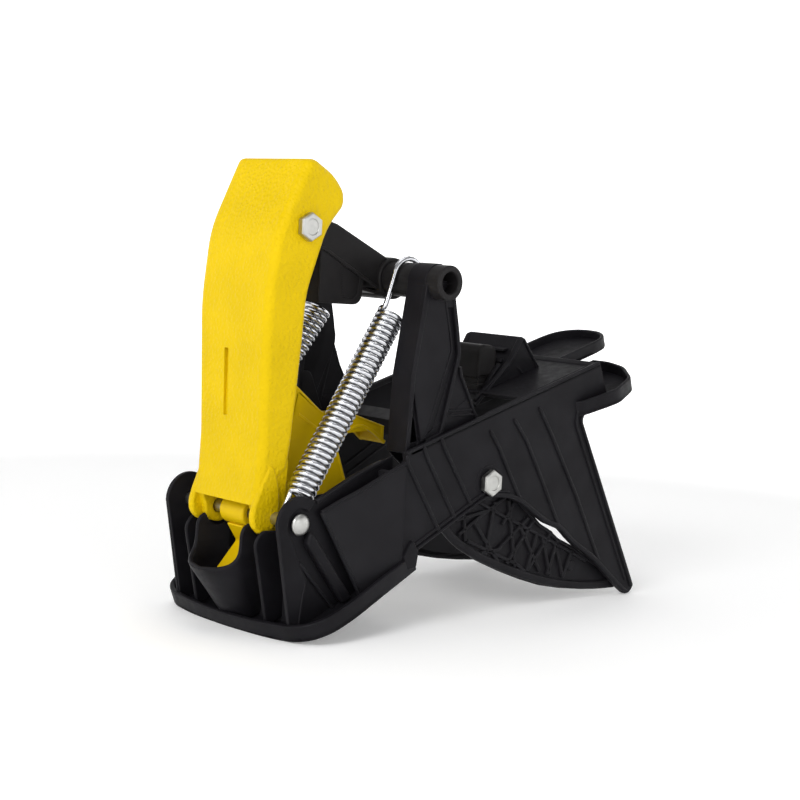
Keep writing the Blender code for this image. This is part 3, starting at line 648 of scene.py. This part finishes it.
def scoop_form(rear, shrink):
    """The scoop as a solid, open to the rear, made smaller all round by shrink."""
    rings = []
    levels = 36
    bottom, top = SCOOP_LEVELS[0][0], SCOOP_LEVELS[-1][0]
    for k in range(levels + 1):
        z = bottom + (top - bottom) * k / levels
        side_end, front, half = scoop_plan(z)
        length, width = side_end - front - shrink, half - shrink
        ring = [LEVEL @ Vector((rear, -width, z))]
        for step in range(33):
            angle = pi * (step / 32 - 0.5)
            ring.append(LEVEL @ Vector((side_end - length * cos(angle), width * sin(angle), z)))
        ring.append(LEVEL @ Vector((rear, width, z)))
        rings.append(ring)
    return rings_mesh(rings)


def make_collar():
    """The forward-leaning scoop round the trigger's tongue, with a rounded, dished lip."""
    wall = 2.0
    lip = smooth_line(SCOOP_LIP, 2.5)
    top = [(-160.0, 10.0), (-160.0, -37.8), *lip, (-80.0, -16.8), (-80.0, 10.0)]
    below = [(-160.0, -80.8), (-60.0, -39.8), (-60.0, -95.0), (-160.0, -95.0)]
    tools = [
        scoop_form(-90.0, wall),
        side_plate(top, -30.0, 30.0, 0.0),
        side_plate(below, -30.0, 30.0, 0.0),
        side_plate(circle(PIN_XZ, 8.8), -30.0, 30.0, 0.0),
    ]
    parts = [boolean(scoop_form(-103.0, 0.0), tools)]
    for side in (-1, 1):
        points = []
        for x, z in lip:
            side_end, front, half = scoop_plan(z)
            reach = max(0.0, (side_end - x) / (side_end - front - wall / 2))
            y = (half - wall / 2) * sqrt(max(0.0, 1.0 - min(1.0, reach) ** 2))
            points.append((x + (wall / 2 if reach >= 1.0 else 0.0), side * y, z))
        parts.append(tube_mesh(points, 1.05, 12))
    return parts


def make_deck():
    """The sloping floor between the walls, the lips along it and the wall at its rear end."""
    floor = mirrored([(-55.0, 47.0), (-0.6, 47.0)])
    parts = [plate(floor, -3.4, -1.4, DECK)]
    for side in (-1, 1):
        for across, width, start, end in ((48.4, 1.2, -134.0, -1.0), (46.6, 0.9, -82.0, -7.0)):
            line = [(start, side * across), (end, side * across)]
            parts.append(plate(ribbon(line, width), -2.6, 0.2, DECK, 0.4))
    back = [(76.0, 56.2), (86.5, 34.0), (84.0, 32.5), (72.5, 54.0)]
    parts.append(side_plate(smooth_outline(back, 1.0), -48.8, 48.8))
    return parts


def make_shelves():
    """The middle tongue and the two ears behind the deck, each with a raised rim."""
    half = [(50.0, 0.0), (49.0, 8.0), (45.5, 14.0), (40.0, 17.8), (32.0, 19.0), (-2.0, 19.0)]
    parts = [plate(smooth_outline(mirrored(half), 2.0), -8.2, -6.2, DECK)]
    line = [(a, -b) for a, b in reversed(half[1:])] + half
    parts.append(plate(ribbon(smooth_line(line, 3.0), 1.8, 0.9), -8.0, -2.0, DECK, 0.7))
    ear = [
        (-23.0, 47.5), (-20.0, 52.0), (-8.0, 55.0), (2.0, 57.0), (20.0, 51.0), (33.0, 36.0),
        (37.5, 22.0), (37.5, 12.0), (6.0, 12.0), (4.0, 47.5),
    ]
    for side in (-1, 1):
        shape = smooth_outline([(a, side * b) for a, b in ear], 4.0, 4)
        parts.append(plate(shape, -21.5, -19.3, DECK))
        line = smooth_line([(a, side * b) for a, b in ear[:8]], 4.0)
        parts.append(plate(ribbon(line, 1.8, -side * 0.9), -21.3, -14.0, DECK, 0.7))
        wall = [(a, side * b) for a, b in ear[7:9]]
        parts.append(plate(ribbon(wall, 1.8), -21.3, -14.0, DECK, 0.7))
    return parts


def make_hood():
    """The hood over the latch: a front plate between two gussets."""
    front = [(50.3, 66.3), (52.6, 66.3), (39.2, 40.0), (36.9, 40.0)]
    gusset = [
        (52.0, 66.2), (68.0, 46.5), (64.0, 45.0), (22.0, 32.5), (19.5, 35.5), (43.3, 54.5), (49.5, 65.5),
    ]
    parts = [side_plate(smooth_outline(front, 0.8), -18.0, 18.0)]
    parts += on_sides(smooth_outline(gusset, 1.2), 16.6, 18.6)
    under = [(12.5, 32.0), (15.0, 25.0), (61.0, 27.0), (66.0, 46.0)]
    parts += on_sides(smooth_outline(under, 1.0), 16.8, 18.4)
    edge = [(19.0, 33.0), (43.3, 54.5), (49.8, 65.4), (52.2, 65.8), (67.6, 47.0)]
    parts += on_sides(ribbon(smooth_line(edge, 2.0), 1.6, -0.6), 16.0, 19.4, 0.7)
    parts += on_sides(ribbon([(48.6, 51.2), (58.4, 42.9)], 1.2), 17.0, 19.2, 0.5)
    second = [(22.9, 31.4), (33.0, 45.9), (39.0, 52.6)]
    parts += on_sides(ribbon(second, 1.2), 13.6, 16.0, 0.5)
    tab = [(42.0, 53.4), (48.2, 53.2), (48.4, 54.6), (42.4, 55.2)]
    parts.append(side_plate(tab, -13.0, 13.0, 0.4))
    brow = [(43.4, 58.8), (47.4, 59.4), (47.4, 60.4), (43.4, 59.8)]
    parts.append(side_plate(brow, -13.0, 13.0, 0.3))
    return parts


# --- Rear jaw frame -------------------------------------------------------------------------------

JAW_OUTLINE = [
    (-38.0, -4.0), (-24.0, -20.0), (-14.0, -31.0), (0.0, -38.4), (16.0, -45.0), (31.0, -50.4),
    (46.0, -55.0), (61.0, -58.0), (77.0, -60.2), (92.0, -61.6), (104.0, -62.0), (107.5, -60.0),
    (96.0, -51.5), (83.7, -44.9), (78.3, -42.2), (69.8, -37.2), (57.2, -31.8), (49.7, -26.4),
    (43.2, -23.4), (37.2, -18.0), (23.0, -8.0), (17.0, 4.0), (8.0, 18.0), (-6.0, 33.0), (-12.0, 40.0),
    (-44.0, 20.0),
]
LEG_OUTLINE = [
    (-43.9, 94.0), (-50.6, 51.0), (-51.8, 14.5), (-46.0, 4.0), (-20.0, 4.0), (-35.2, 23.6),
    (-20.2, 57.6), (-19.6, 62.4), (-26.0, 86.0), (-27.5, 91.5),
]
LATTICE = [
    ((-2.0, -9.6), (13.2, -16.6), (50.5, -32.3), (80.0, -45.4)),
    ((-14.0, -24.5), (-1.5, -17.5), (17.1, -8.6)), ((-11.5, -14.0), (-9.2, -28.0)),
    ((-16.5, -17.5), (4.4, -14.5)), ((-3.8, -19.4), (14.2, -40.0)),
    ((-8.0, -28.0), (27.2, -42.3), (34.0, -46.6)), ((9.8, -10.5), (5.0, -36.0)),
    ((2.0, -34.6), (13.4, -34.0), (34.4, -20.0)), ((19.4, -10.4), (26.6, -43.6)),
    ((24.4, -10.6), (16.0, -22.0)), ((20.5, -41.6), (38.6, -21.6)), ((27.4, -22.0), (45.0, -47.6)),
    ((41.4, -28.6), (35.6, -46.6)), ((35.8, -46.4), (52.4, -28.4)), ((45.6, -30.4), (53.0, -50.4)),
    ((50.8, -50.0), (57.4, -33.0)), ((55.4, -34.6), (63.2, -52.4)), ((69.0, -39.2), (62.8, -52.4)),
]


def make_frame_side(side):
    """One leg with its jaw: plates, rims and the pattern of thin ribs."""
    put = partial(one_side, side)
    outside = FRAME_HALF
    inside = outside - FRAME_PLATE
    depth = outside - LEG_DEPTH
    window = [(-48.8, 42.6), (-50.2, 19.6), (-43.2, 20.6)]
    jaw = [smooth_outline(JAW_OUTLINE, 1.2), circle((0, 0), 5.2)]
    leg = [smooth_outline(LEG_OUTLINE, 1.2), smooth_outline(window, 0.8)]
    parts = [put(jaw, inside, outside - 1.3), put(leg, inside, outside - 1.9)]
    front = [(-43.7, 95.0), (-50.6, 51.0), (-51.8, 15.5), (-49.2, 15.5), (-48.0, 51.0), (-40.5, 95.0)]
    parts.append(put(smooth_outline(front, 0.8), depth, outside, 0.6))
    flank = [
        (-43.0, 91.5), (-50.0, 51.0), (-50.6, 44.0), (-48.2, 43.2), (-42.0, 20.4), (-39.6, 21.4),
        (-26.2, 62.3), (-27.8, 69.6), (-32.2, 86.5), (-33.0, 91.5),
    ]
    parts.append(put(smooth_outline(flank, 1.2), inside, outside - 0.25, 0.5))
    light = [(-32.0, 86.5), (-27.2, 69.6), (-25.7, 62.3), (-39.6, 23.6), (-41.6, 22.0)]
    parts.append(put(ribbon(smooth_line(light, 1.5), 0.9), inside, outside + 0.1, 0.4))
    rim = [(-26.6, 89.0), (-22.2, 70.4), (-20.4, 60.2), (-29.6, 23.6), (-38.8, 20.4)]
    parts.append(put(ribbon(smooth_line(rim, 2.0), 2.0), inside, outside, 0.6))
    gusset = [
        (-20.0, 58.5), (-15.2, 47.0), (-8.6, 33.8), (-4.0, 28.0), (-35.0, 20.0), (-34.0, 27.0),
        (-24.0, 54.0),
    ]
    parts.append(put(smooth_outline(gusset, 1.0), inside + 0.2, outside - 1.6))
    edge = [(-18.9, 54.5), (-18.0, 50.4), (-12.6, 41.5), (-8.4, 33.8), (-5.4, 29.5)]
    parts.append(put(ribbon(edge, 1.3), inside, outside - 0.2, 0.5))
    for bar in ([(-25.8, 34.2), (-8.2, 34.3)], [(-26.4, 31.9), (-7.8, 32.0)]):
        parts.append(put(ribbon(bar, 0.9), inside, outside - 0.5, 0.4))
    hub = [circle(TUBE_XZ, TUBE_RADIUS + 0.45), circle(TUBE_XZ, TUBE_RADIUS - 0.4)]
    parts.append(put(hub, depth, outside - 1.2, 0.3))
    neck = [(-43.4, 94.0), (-45.7, 82.0), (-25.5, 82.0), (-29.0, 94.0)]
    parts.append(put(neck, depth, outside - 0.5, 0.6))
    for line in LATTICE:
        parts.append(put(ribbon(smooth_line(line, 1.0, 2), 1.7), outside - 1.8, outside + 0.2, 0.5))
    bottom = [
        (-30.0, -15.0), (-15.6, -27.8), (-1.0, -35.6), (20.0, -44.0), (43.4, -51.4), (61.0, -55.6),
        (77.0, -58.0), (92.0, -59.4), (104.0, -59.8),
    ]
    parts.append(put(ribbon(smooth_line(bottom, 5.0, 3), 4.2), inside, outside + 0.3, 1.1))
    parts.append(put(circle((68.4, -47.0), 2.8), outside - 1.6, outside + 0.1, 0.6))
    teeth = [
        (98.0, -53.6), (84.0, -46.0), (78.0, -43.2), (69.6, -38.3), (57.0, -32.9), (49.4, -27.6),
        (43.0, -24.6), (36.4, -19.2), (24.0, -9.4),
    ]
    parts.append(put(ribbon(smooth_line(teeth, 2.0, 3), 1.8), outside - 1.2, outside + 0.1, 0.6))
    return parts


NUT_COVER = [
    (-50.0, 46.0), (-44.0, 46.0), (-34.0, 24.0), (-12.0, 14.0), (6.0, 12.0), (13.0, 3.0), (10.0, -8.0),
    (0.0, -12.0), (-14.0, -10.0), (-34.0, 2.0), (-51.0, 15.0),
]


def make_rear_frame():
    """Both legs, the covers over the pivot nuts and the cross web."""
    parts = make_frame_side(-1) + make_frame_side(1)
    parts += on_sides(smooth_outline(NUT_COVER, 3.0, 4), 32.2, 33.5, 0.4)
    for line in ([(-19.0, -1.6), (-3.2, 7.2), (3.6, 11.0)], [(-17.0, -6.1), (3.0, 4.7), (8.4, 7.6)]):
        parts += on_sides(ribbon(line, 1.1), 31.6, 32.5, 0.4)
    inner = FRAME_HALF - 1.0
    web = [(-16.0, 17.0), (-15.0, 24.0), (-6.0, 28.0), (-4.0, 25.5), (-12.0, 22.0), (-13.5, 16.0)]
    parts.append(side_plate(web, -inner, inner))
    return parts


def make_tube():
    """The cross tube with its open ends."""
    half = TUBE_HALF_LENGTH
    end = [(half - 0.6, TUBE_RADIUS), (half, 7.4), (half, 5.5), (half - 0.6, 5.0), (40.0, 4.9)]
    profile = [(-y, radius) for y, radius in reversed(end)] + end
    return [turned(profile, TUBE_XZ, 1, 64)]


# --- Pedal, trigger, link -------------------------------------------------------------------------

FRONT_FACE = LEVEL @ Matrix.Translation((-136.5, 0.0, 0.0)) @ Matrix(
    ((0, 0, 1, 0), (1, 0, 0, 0), (0, 1, 0, 0), (0, 0, 0, 1))
)
PEDAL_SLOT = [(1.8, 30.0), (4.6, 30.0), (4.6, 60.0), (1.8, 60.0)]


def widen_upwards(mesh):
    """The pedal is a little wider at the top than at the pin."""
    for vertex in mesh.vertices:
        height = max(0.0, (vertex.co.z - PIVOT.z) / MM)
        vertex.co.y *= 1.02 + PEDAL_FLARE * min(height, 130.0)


def make_pedal():
    """The hollow pedal with its slot, hinge lugs, horn fins and bolt collars."""
    front = [(-118.0, 4.0), (-117.3, 21.0), (-119.2, 80.0), (-115.4, 112.0), (-100.0, 144.4)]
    back = [
        (-95.5, 144.7), (-84.0, 138.5), (-78.0, 131.5), (-77.5, 125.0), (-86.5, 114.5), (-95.9, 86.1),
        (-96.8, 65.0), (-99.8, 20.0), (-101.5, 8.0),
    ]
    outline = [(-119.8, -7.0), (-118.0, 4.0), (-117.3, 21.0)]
    outline += smooth_line([*front[1:], back[0]], 9.0, 6)[1:-1]
    outline += smooth_line([front[4], *back], 6.0, 5)[1:]
    shell = side_plate(outline, -PEDAL_HALF, PEDAL_HALF, 3.6, 6)
    hollow = [
        (-116.8, -10.0), (-114.9, 4.0), (-114.3, 21.0), (-116.2, 80.0), (-113.6, 111.8), (-99.4, 141.4),
        (-88.0, 135.5), (-60.0, 146.0), (-60.0, -10.0),
    ]
    inner = PEDAL_HALF - PEDAL_WALL
    slot = plate(PEDAL_SLOT, 0.0, 20.0, FRONT_FACE, 0.0)
    cavity = side_plate(hollow, -inner, inner, 0.0)
    parts = [boolean(shell, [cavity, slot])]
    lug = [(-101.0, 12.0), (-116.0, 12.0), (-117.2, 3.0), (-118.6, -6.0)] + arc(PIN_XZ, 7.4, 185, 380, 20)
    parts += on_sides([lug, circle(PIN_XZ, PIN_RADIUS + BORE_GAP)], 15.8, 21.6, 0.9)
    horn = [
        (-113.0, 10.4), (-116.4, 3.0), (-119.6, -5.0), (-121.4, -11.0), (-120.6, -16.0), (-116.5, -19.8),
        (-111.0, -19.6), (-107.0, -15.0), (-106.0, -6.0), (-107.5, 3.0), (-110.4, 10.0),
    ]
    parts += on_sides(smooth_outline(horn, 2.5, 4), 19.6, 23.3, 1.3)
    collar = [(PEDAL_HALF - 0.4, 7.4), (PEDAL_HALF + 0.12, 7.2), (PEDAL_HALF + 0.12, 3.6)]
    for side in (-1, 1):
        parts.append(turned(collar, LINK_BOLT, side))
    for mesh in parts:
        widen_upwards(mesh)
    return parts


TRIGGER_TOP = [
    (-101.0, -2.0), (-92.0, 16.5), (-87.0, 43.8), (-70.4, 30.9), (-61.0, 29.6), (-49.9, 29.2),
    (-31.1, 23.2),
]
TRIGGER_LOW = [
    (-31.1, 14.7), (-36.5, 18.8), (-41.6, 21.6), (-47.9, 23.6), (-53.7, 21.6), (-58.6, 17.0), (-59.6, 12.7),
    (-54.0, -1.6), (-62.0, -7.0), (-90.0, -8.0),
]


def make_trigger():
    """A channel: two side walls with an arched lower edge under one bent top plate."""
    lower = TRIGGER_TOP[:5] + TRIGGER_LOW[5:]
    upper = TRIGGER_TOP[4:] + TRIGGER_LOW[:6]
    parts = on_sides(lower, TRIGGER_HALF - 1.7, TRIGGER_HALF - 0.3, 0.2)
    parts += on_sides(upper, TRIGGER_HALF - 1.8, TRIGGER_HALF - 0.4, 0.2)
    top = smooth_line(TRIGGER_TOP, 2.5)
    parts.append(side_plate(ribbon(top, 1.8, -0.9), -TRIGGER_HALF, TRIGGER_HALF, 0.5))
    arch = smooth_line(TRIGGER_LOW[:7], 2.5)
    parts += on_sides(ribbon(arch, 1.6, -0.8), TRIGGER_HALF - 1.8, TRIGGER_HALF + 0.5, 0.5)
    rear = smooth_line(TRIGGER_LOW[6:], 1.5, 3)
    parts.append(side_plate(ribbon(rear, 1.6, -0.8), -TRIGGER_HALF + 0.1, TRIGGER_HALF - 0.1, 0.5))
    rib = ribbon([(-85.0, 30.4), (-64.0, 17.8)], 1.5)
    parts += on_sides(rib, TRIGGER_HALF - 0.5, TRIGGER_HALF + 0.5, 0.5)
    end = [(-31.1, 23.2), (-31.1, 14.9), (-33.0, 16.2), (-33.0, 23.4)]
    parts.append(side_plate(end, -TRIGGER_HALF + 0.15, TRIGGER_HALF - 0.15, 0.5))
    knuckle = circle(PIN_XZ, 6.2)
    bore = circle(PIN_XZ, PIN_RADIUS + BORE_GAP)
    parts.append(side_plate([knuckle, bore], -TRIGGER_HALF, TRIGGER_HALF, 0.9))
    arm = [(-102.0, -9.0), (-100.0, -1.0), (-88.0, 4.0), (-84.0, -7.0), (-100.5, -17.0), (-103.0, -14.0)]
    parts.append(side_plate(arm, -TRIGGER_HALF + 0.7, TRIGGER_HALF - 0.7, 0.6))
    tongue = [
        (-112.6, -19.2), (-106.8, -27.5), (-118.0, -40.0), (-116.3, -41.6), (-103.0, -28.5),
        (-103.0, -17.6),
    ]
    parts.append(side_plate(smooth_outline(tongue, 1.0), -TONGUE_HALF, TONGUE_HALF, 0.6))
    return parts


def make_link():
    """The arm from the tube to the pedal's top bolt."""
    arm = arc(LINK_BOLT, 8.6, 70, 250, 14)
    arm += [(-78.0, 105.2), (-43.0, 87.8), (-36.0, 101.4), (-71.0, 117.2)]
    hole = circle(LINK_BOLT, LINK_BORE)
    parts = [side_plate([arm, hole], -LINK_HALF, LINK_HALF, 0.9, 3)]
    edge = [(-88.0, 107.6), (-78.0, 105.6), (-45.4, 89.0)]
    parts += on_sides(ribbon(edge, 1.6), LINK_HALF - 0.5, LINK_HALF + 0.7, 0.6)
    hub = [(-14.8, 8.4), (-14.8, 9.1), (-14.3, 9.6), (-12.6, 9.8)]
    hub += [(-y, radius) for y, radius in reversed(hub)]
    parts.append(turned(hub, TUBE_XZ, 1, 64))
    return parts


def make_catch():
    """The framed box under the link and its thin lip."""
    half = LINK_HALF - 0.8
    outline = [(-80.0, 106.0), (-80.0, 81.4), (-60.0, 80.8)] + arc((-58.8, 85.8), 5.0, -80, 0, 8)
    outline += [(-52.8, 95.5)]
    parts = [side_plate(outline, -half, half, 0.8)]
    frame = [(-66.8, 98.6), (-66.0, 84.6), (-60.0, 83.6), (-57.0, 85.6), (-55.8, 94.2)]
    parts += on_sides([outline, frame], half - 0.4, half + 0.6, 0.5)
    lip = [(-57.0, 90.0), (-44.0, 87.2), (-44.4, 86.0), (-57.0, 88.2)]
    parts.append(side_plate(lip, -half + 1.0, half - 1.0, 0.4))
    return parts


def make_latch():
    """The rounded box in front of the hood, on its neck and flange."""
    box = [(25.5, 45.6), (25.5, 57.0)] + arc((29.5, 58.2), 4, 180, 80, 8)
    box += [(34.6, 61.8), (37.4, 60.0), (38.6, 57.0), (37.4, 47.4), (36.2, 45.8)]
    parts = [side_plate(smooth_outline(box, 0.6, 2), -13.9, 13.9, 1.5, 4)]
    neck = [(27.0, 42.0), (27.0, 46.4), (35.0, 46.4), (34.5, 42.0)]
    parts.append(side_plate(neck, -12.8, 12.8, 0.4))
    flange = [(25.5, 39.6), (25.5, 42.8), (36.4, 42.8), (35.0, 39.6)]
    parts.append(side_plate(flange, -13.6, 13.6, 0.9))
    return parts


# --- Steel ----------------------------------------------------------------------------------------

def hexagon(centre, flats):
    return arc(centre, flats / 2 / cos(pi / 6), 30, 330, 5)


def bolt_head(centre, y, side):
    """A hex head with a rounded crown and a shallow dish in it."""
    crown = [hexagon(centre, HEX_FLATS - 0.5), circle(centre, 3.4)]
    return [
        one_side(side, hexagon(centre, HEX_FLATS), y, y + 3.0, 0.45, 3),
        one_side(side, crown, y + 2.5, y + 3.4, 0.4, 3),
    ]


def shank(centre, y_low, y_high, side):
    """A threaded end: fine rounded grooves."""
    profile = [(y_low, 0.2), (y_low, THREAD_RADIUS)]
    y = y_low + 0.4
    while y < y_high - 0.6:
        profile += [(y, THREAD_RADIUS), (y + 0.25, THREAD_RADIUS - 0.3), (y + 0.5, THREAD_RADIUS)]
        y += 1.0
    profile += [(y_high - 0.3, THREAD_RADIUS - 0.2), (y_high, THREAD_RADIUS - 0.7), (y_high, 0.2)]
    return turned(profile, centre, side, 32)


def bolt(centre, seat, end, side):
    """A bolt whose head sits on a face at seat and whose thread ends at end."""
    return [*bolt_head(centre, seat + 0.3, side), shank(centre, end, seat + 1.0, side)]


def nut(centre, y, side):
    outline = [hexagon(centre, HEX_FLATS), circle(centre, THREAD_RADIUS + 0.1)]
    return one_side(side, outline, y, y + NUT_THICKNESS, 0.6, 3)


def washer(centre, outer, inner, y_low, y_high, side):
    profile = [
        (y_low, inner), (y_low, outer - 0.2), (y_low + 0.2, outer), (y_high - 0.2, outer),
        (y_high, outer - 0.2), (y_high, inner),
    ]
    return turned(profile, centre, side)


def rod(centre, y_low, y_high, radius, side):
    profile = [(y_low, 0.2), (y_low, radius), (y_high, radius), (y_high, 0.2)]
    return turned(profile, centre, side)


def steel_piece(name, meshes, body, node):
    join(name, meshes, STEEL, body, node)


def make_pivot_steel():
    """Bolt, nut, washer and sleeve of each pivot, whose centre is the origin of the outlines."""
    centre = (0.0, 0.0)
    for side, word in ((-1, "left"), (1, "right")):
        steel_piece("bolt_" + word, bolt(centre, BODY_HALF, 33.6, side), "base", "pivot_bolt_" + word)
        steel_piece("nut_" + word, [nut(centre, 35.1, side)], "base", "pivot_nut_" + word)
        ring = washer(centre, 7.0, 3.5, 40.8, 42.0, side)
        steel_piece("washer_" + word, [ring], "base", "pivot_washer_" + word)
        sleeve = washer(centre, 4.8, 3.4, 42.3, 46.2, side)
        steel_piece("sleeve_" + word, [sleeve], "base", "pivot_sleeve_" + word)


def make_top_steel():
    """The bolt through the pedal's top, with its nut and spacer."""
    steel_piece("top_bolt", bolt(LINK_BOLT, PEDAL_TOP_HALF, -31.5, -1), "pedal", "link_bolt")
    steel_piece("top_nut", [nut(LINK_BOLT, PEDAL_TOP_HALF + 0.3, 1)], "pedal", "link_nut")
    spacer = washer(LINK_BOLT, 4.6, 3.5, -21.4, 21.4, 1)
    steel_piece("top_spacer", [spacer], "pedal", "link_spacer")


def make_pin_steel():
    """The hinge pin with a domed head on the left, and its cap on the right."""
    seat = FRONT_HALF - 0.7
    head = [(seat, 0.2), (seat, 4.7), (seat + 0.3, 4.9)]
    for degrees in range(10, 91, 10):
        angle = radians(degrees)
        head.append((seat + 0.3 + 2.6 * sin(angle), 4.9 * cos(angle) + 0.05))
    pin = [turned(head, PIN_XZ, -1), rod(PIN_XZ, -38.2, seat + 0.2, PIN_RADIUS, -1)]
    steel_piece("hinge_pin", pin, "base", "front_pin")
    cap = [turned(head, PIN_XZ, 1), rod(PIN_XZ, 38.5, seat + 0.2, PIN_RADIUS, 1)]
    steel_piece("hinge_pin_cap", cap, "base", "front_pin_cap")


# --- Springs --------------------------------------------------------------------------------------

COIL_TURNS = 34
COIL_START = 13.0
COIL_LENGTH = 97.0
COIL_RADIUS = 5.6
COIL_STEPS = 22
WIRE = 1.25


def make_spring(side, word):
    """One wound wire: lower hook, close coils, upper hook over the tube."""
    low = Vector((PIN.x, side * 31.0, PIN.z))
    high = Vector((TUBE.x, side * 24.5, TUBE.z))
    along = (high - low).normalized()
    across = Vector((-along.z, 0.0, along.x)).normalized()
    outward = along.cross(across)

    def spot(a, b, c=0.0):
        return low + along * a + across * b + outward * c

    points = []
    eye = PIN_RADIUS + 0.2 + WIRE
    for i in range(13):
        angle = radians(-60 + 240 * i / 12)
        points.append(spot(-eye * sin(angle), -eye * cos(angle)))
    points += [spot(1.5, eye), spot(7.0, eye + 0.2)]
    points += [spot(11.0, COIL_RADIUS - 0.5), spot(12.4, COIL_RADIUS - 0.1)]
    for i in range(COIL_TURNS * COIL_STEPS + 1):
        turn = i / COIL_STEPS
        angle = 2 * pi * turn
        rise = COIL_START + COIL_LENGTH * turn / COIL_TURNS
        points.append(spot(rise, COIL_RADIUS * cos(angle), COIL_RADIUS * sin(angle)))
    points.append(spot(COIL_START + COIL_LENGTH + 1.8, COIL_RADIUS))
    top = TUBE_RADIUS + 0.5 + WIRE
    for i in range(15):
        angle = radians(-10 + 225 * i / 14)
        points.append(high + across * (top * cos(angle)) + along * (top * sin(angle)))
    mesh = tube_mesh(points, WIRE)
    mesh.shade_smooth()
    mesh.materials.append(SPRING)
    piece = bpy.data.objects.new("spring_" + word, mesh)
    bpy.context.scene.collection.objects.link(piece)
    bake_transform(piece)
    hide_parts("spring_" + word + "_coil", "spring_" + word + "_hook")


# --- Pieces ---------------------------------------------------------------------------------------

body = make_sides() + make_flare() + make_side_ribs() + make_foot() + make_front_ribs() + make_collar()
body += make_deck() + make_shelves() + make_hood()
join("front_jaw", body, BLACK, "base", "front_jaw_body")
join("latch", make_latch(), BLACK_LIGHT, "base", "latch_box")
join("rear_frame", make_rear_frame(), BLACK, "rear_jaw", "rear_jaw_frame")
join("tube", make_tube(), BLACK_LIGHT, "rear_jaw", "cross_tube")
join("pedal_shell", make_pedal(), YELLOW, "pedal", "pedal_handle")
join("trigger_lever", make_trigger(), YELLOW_SMOOTH, "trigger", "trigger_plate")
join("link", make_link(), BLACK_LIGHT, "toggle", "toggle_link")
join("catch", make_catch(), BLACK_LIGHT, "toggle", "latch_catch")
make_pivot_steel()
make_top_steel()
make_pin_steel()
make_spring(-1, "left")
make_spring(1, "right")


# --- Floor, light and camera ----------------------------------------------------------------------

FLOOR_RINGS = 25
FLOOR_STEPS = 60
FLOOR_REACH = 5.0
FLOOR_FLAT = 3.0
WORLD_STRENGTH = 0.34
LIGHT_TARGET = Vector((0.0, 0.0, 0.1))
LIGHTS = [
    ("key", (-1.0, -0.35, 0.8), (0.5, 0.4), 6.0),
    ("top", (0.1, 0.1, 1.2), (0.9, 0.9), 3.5),
    ("side", (-0.2, -1.1, 0.6), (0.4, 0.4), 0.8),
]
CAMERA_LENS = 76.5
CAMERA_SENSOR = 36.0
CAMERA_FROM_PIVOT = Vector((-0.58256, -0.5915, 0.11224))
CAMERA_AXES = (
    (0.723333, -0.688355, 0.054388),
    (0.026099, 0.105965, 0.994027),
    (-0.690006, -0.717593, 0.094614),
)


def make_floor():
    """A pale floor that curves up into a backdrop far behind the object."""
    nodes = Nodes("pale_floor")
    cloud = nodes.noise(3.0)
    colour = mix_colour(nodes, cloud, (0.93, 0.93, 0.93), (0.96, 0.96, 0.96))
    nodes.link(colour, nodes.shader.inputs["Base Color"])
    nodes.shader.inputs["Roughness"].default_value = 0.7
    distance = nodes.add("ShaderNodeVectorMath", operation="LENGTH")
    nodes.link(nodes.position, distance.inputs[0])
    nodes.shader.inputs["Emission Color"].default_value = (1.0, 1.0, 1.0, 1.0)
    glow = nodes.span(distance.outputs["Value"], 0.15, 0.8, 0.5, 0.9)
    nodes.link(glow, nodes.shader.inputs["Emission Strength"])
    work = bmesh.new()
    rings = []
    for k in range(FLOOR_RINGS + 1):
        reach = 0.02 + FLOOR_REACH * k / FLOOR_RINGS
        rise = max(0.0, reach - FLOOR_FLAT) ** 2 * 0.6
        ring = []
        for i in range(FLOOR_STEPS):
            angle = 2 * pi * i / FLOOR_STEPS
            ring.append(work.verts.new((reach * cos(angle), reach * sin(angle), rise)))
        rings.append(ring)
    work.faces.new(rings[0])
    for row, after in zip(rings, rings[1:]):
        for i in range(FLOOR_STEPS):
            ahead = (i + 1) % FLOOR_STEPS
            work.faces.new((row[i], after[i], after[ahead], row[ahead]))
    bmesh.ops.recalc_face_normals(work, faces=work.faces)
    mesh = bpy.data.meshes.new("floor")
    work.to_mesh(mesh)
    work.free()
    mesh.shade_smooth()
    mesh.materials.append(nodes.material)
    floor = bpy.data.objects.new("floor", mesh)
    bpy.context.scene.collection.objects.link(floor)


def area_light(name, place, size, power):
    """A soft light that faces the object."""
    light = bpy.data.lights.new(name, "AREA")
    light.shape = "RECTANGLE"
    light.size, light.size_y = size
    light.energy = power
    obj = bpy.data.objects.new(name, light)
    bpy.context.scene.collection.objects.link(obj)
    obj.location = place
    obj.rotation_euler = (LIGHT_TARGET - Vector(place)).to_track_quat("-Z", "Y").to_euler()


def make_camera():
    """The camera, by its right, up and back axes."""
    camera = bpy.data.cameras.new("camera")
    camera.lens = CAMERA_LENS
    camera.sensor_width = CAMERA_SENSOR
    camera.clip_start = 0.01
    obj = bpy.data.objects.new("camera", camera)
    bpy.context.scene.collection.objects.link(obj)
    turn = Matrix(CAMERA_AXES).transposed().to_4x4()
    obj.matrix_world = Matrix.Translation(PIVOT + CAMERA_FROM_PIVOT) @ turn
    bpy.context.scene.camera = obj


def make_world():
    world = bpy.data.worlds.new("studio")
    world.use_nodes = True
    background = world.node_tree.nodes["Background"]
    background.inputs["Color"].default_value = (1.0, 1.0, 1.0, 1.0)
    background.inputs["Strength"].default_value = WORLD_STRENGTH
    bpy.context.scene.world = world


make_floor()
make_world()
for light in LIGHTS:
    area_light(*light)
make_camera()
bpy.context.scene.view_settings.view_transform = "Standard"
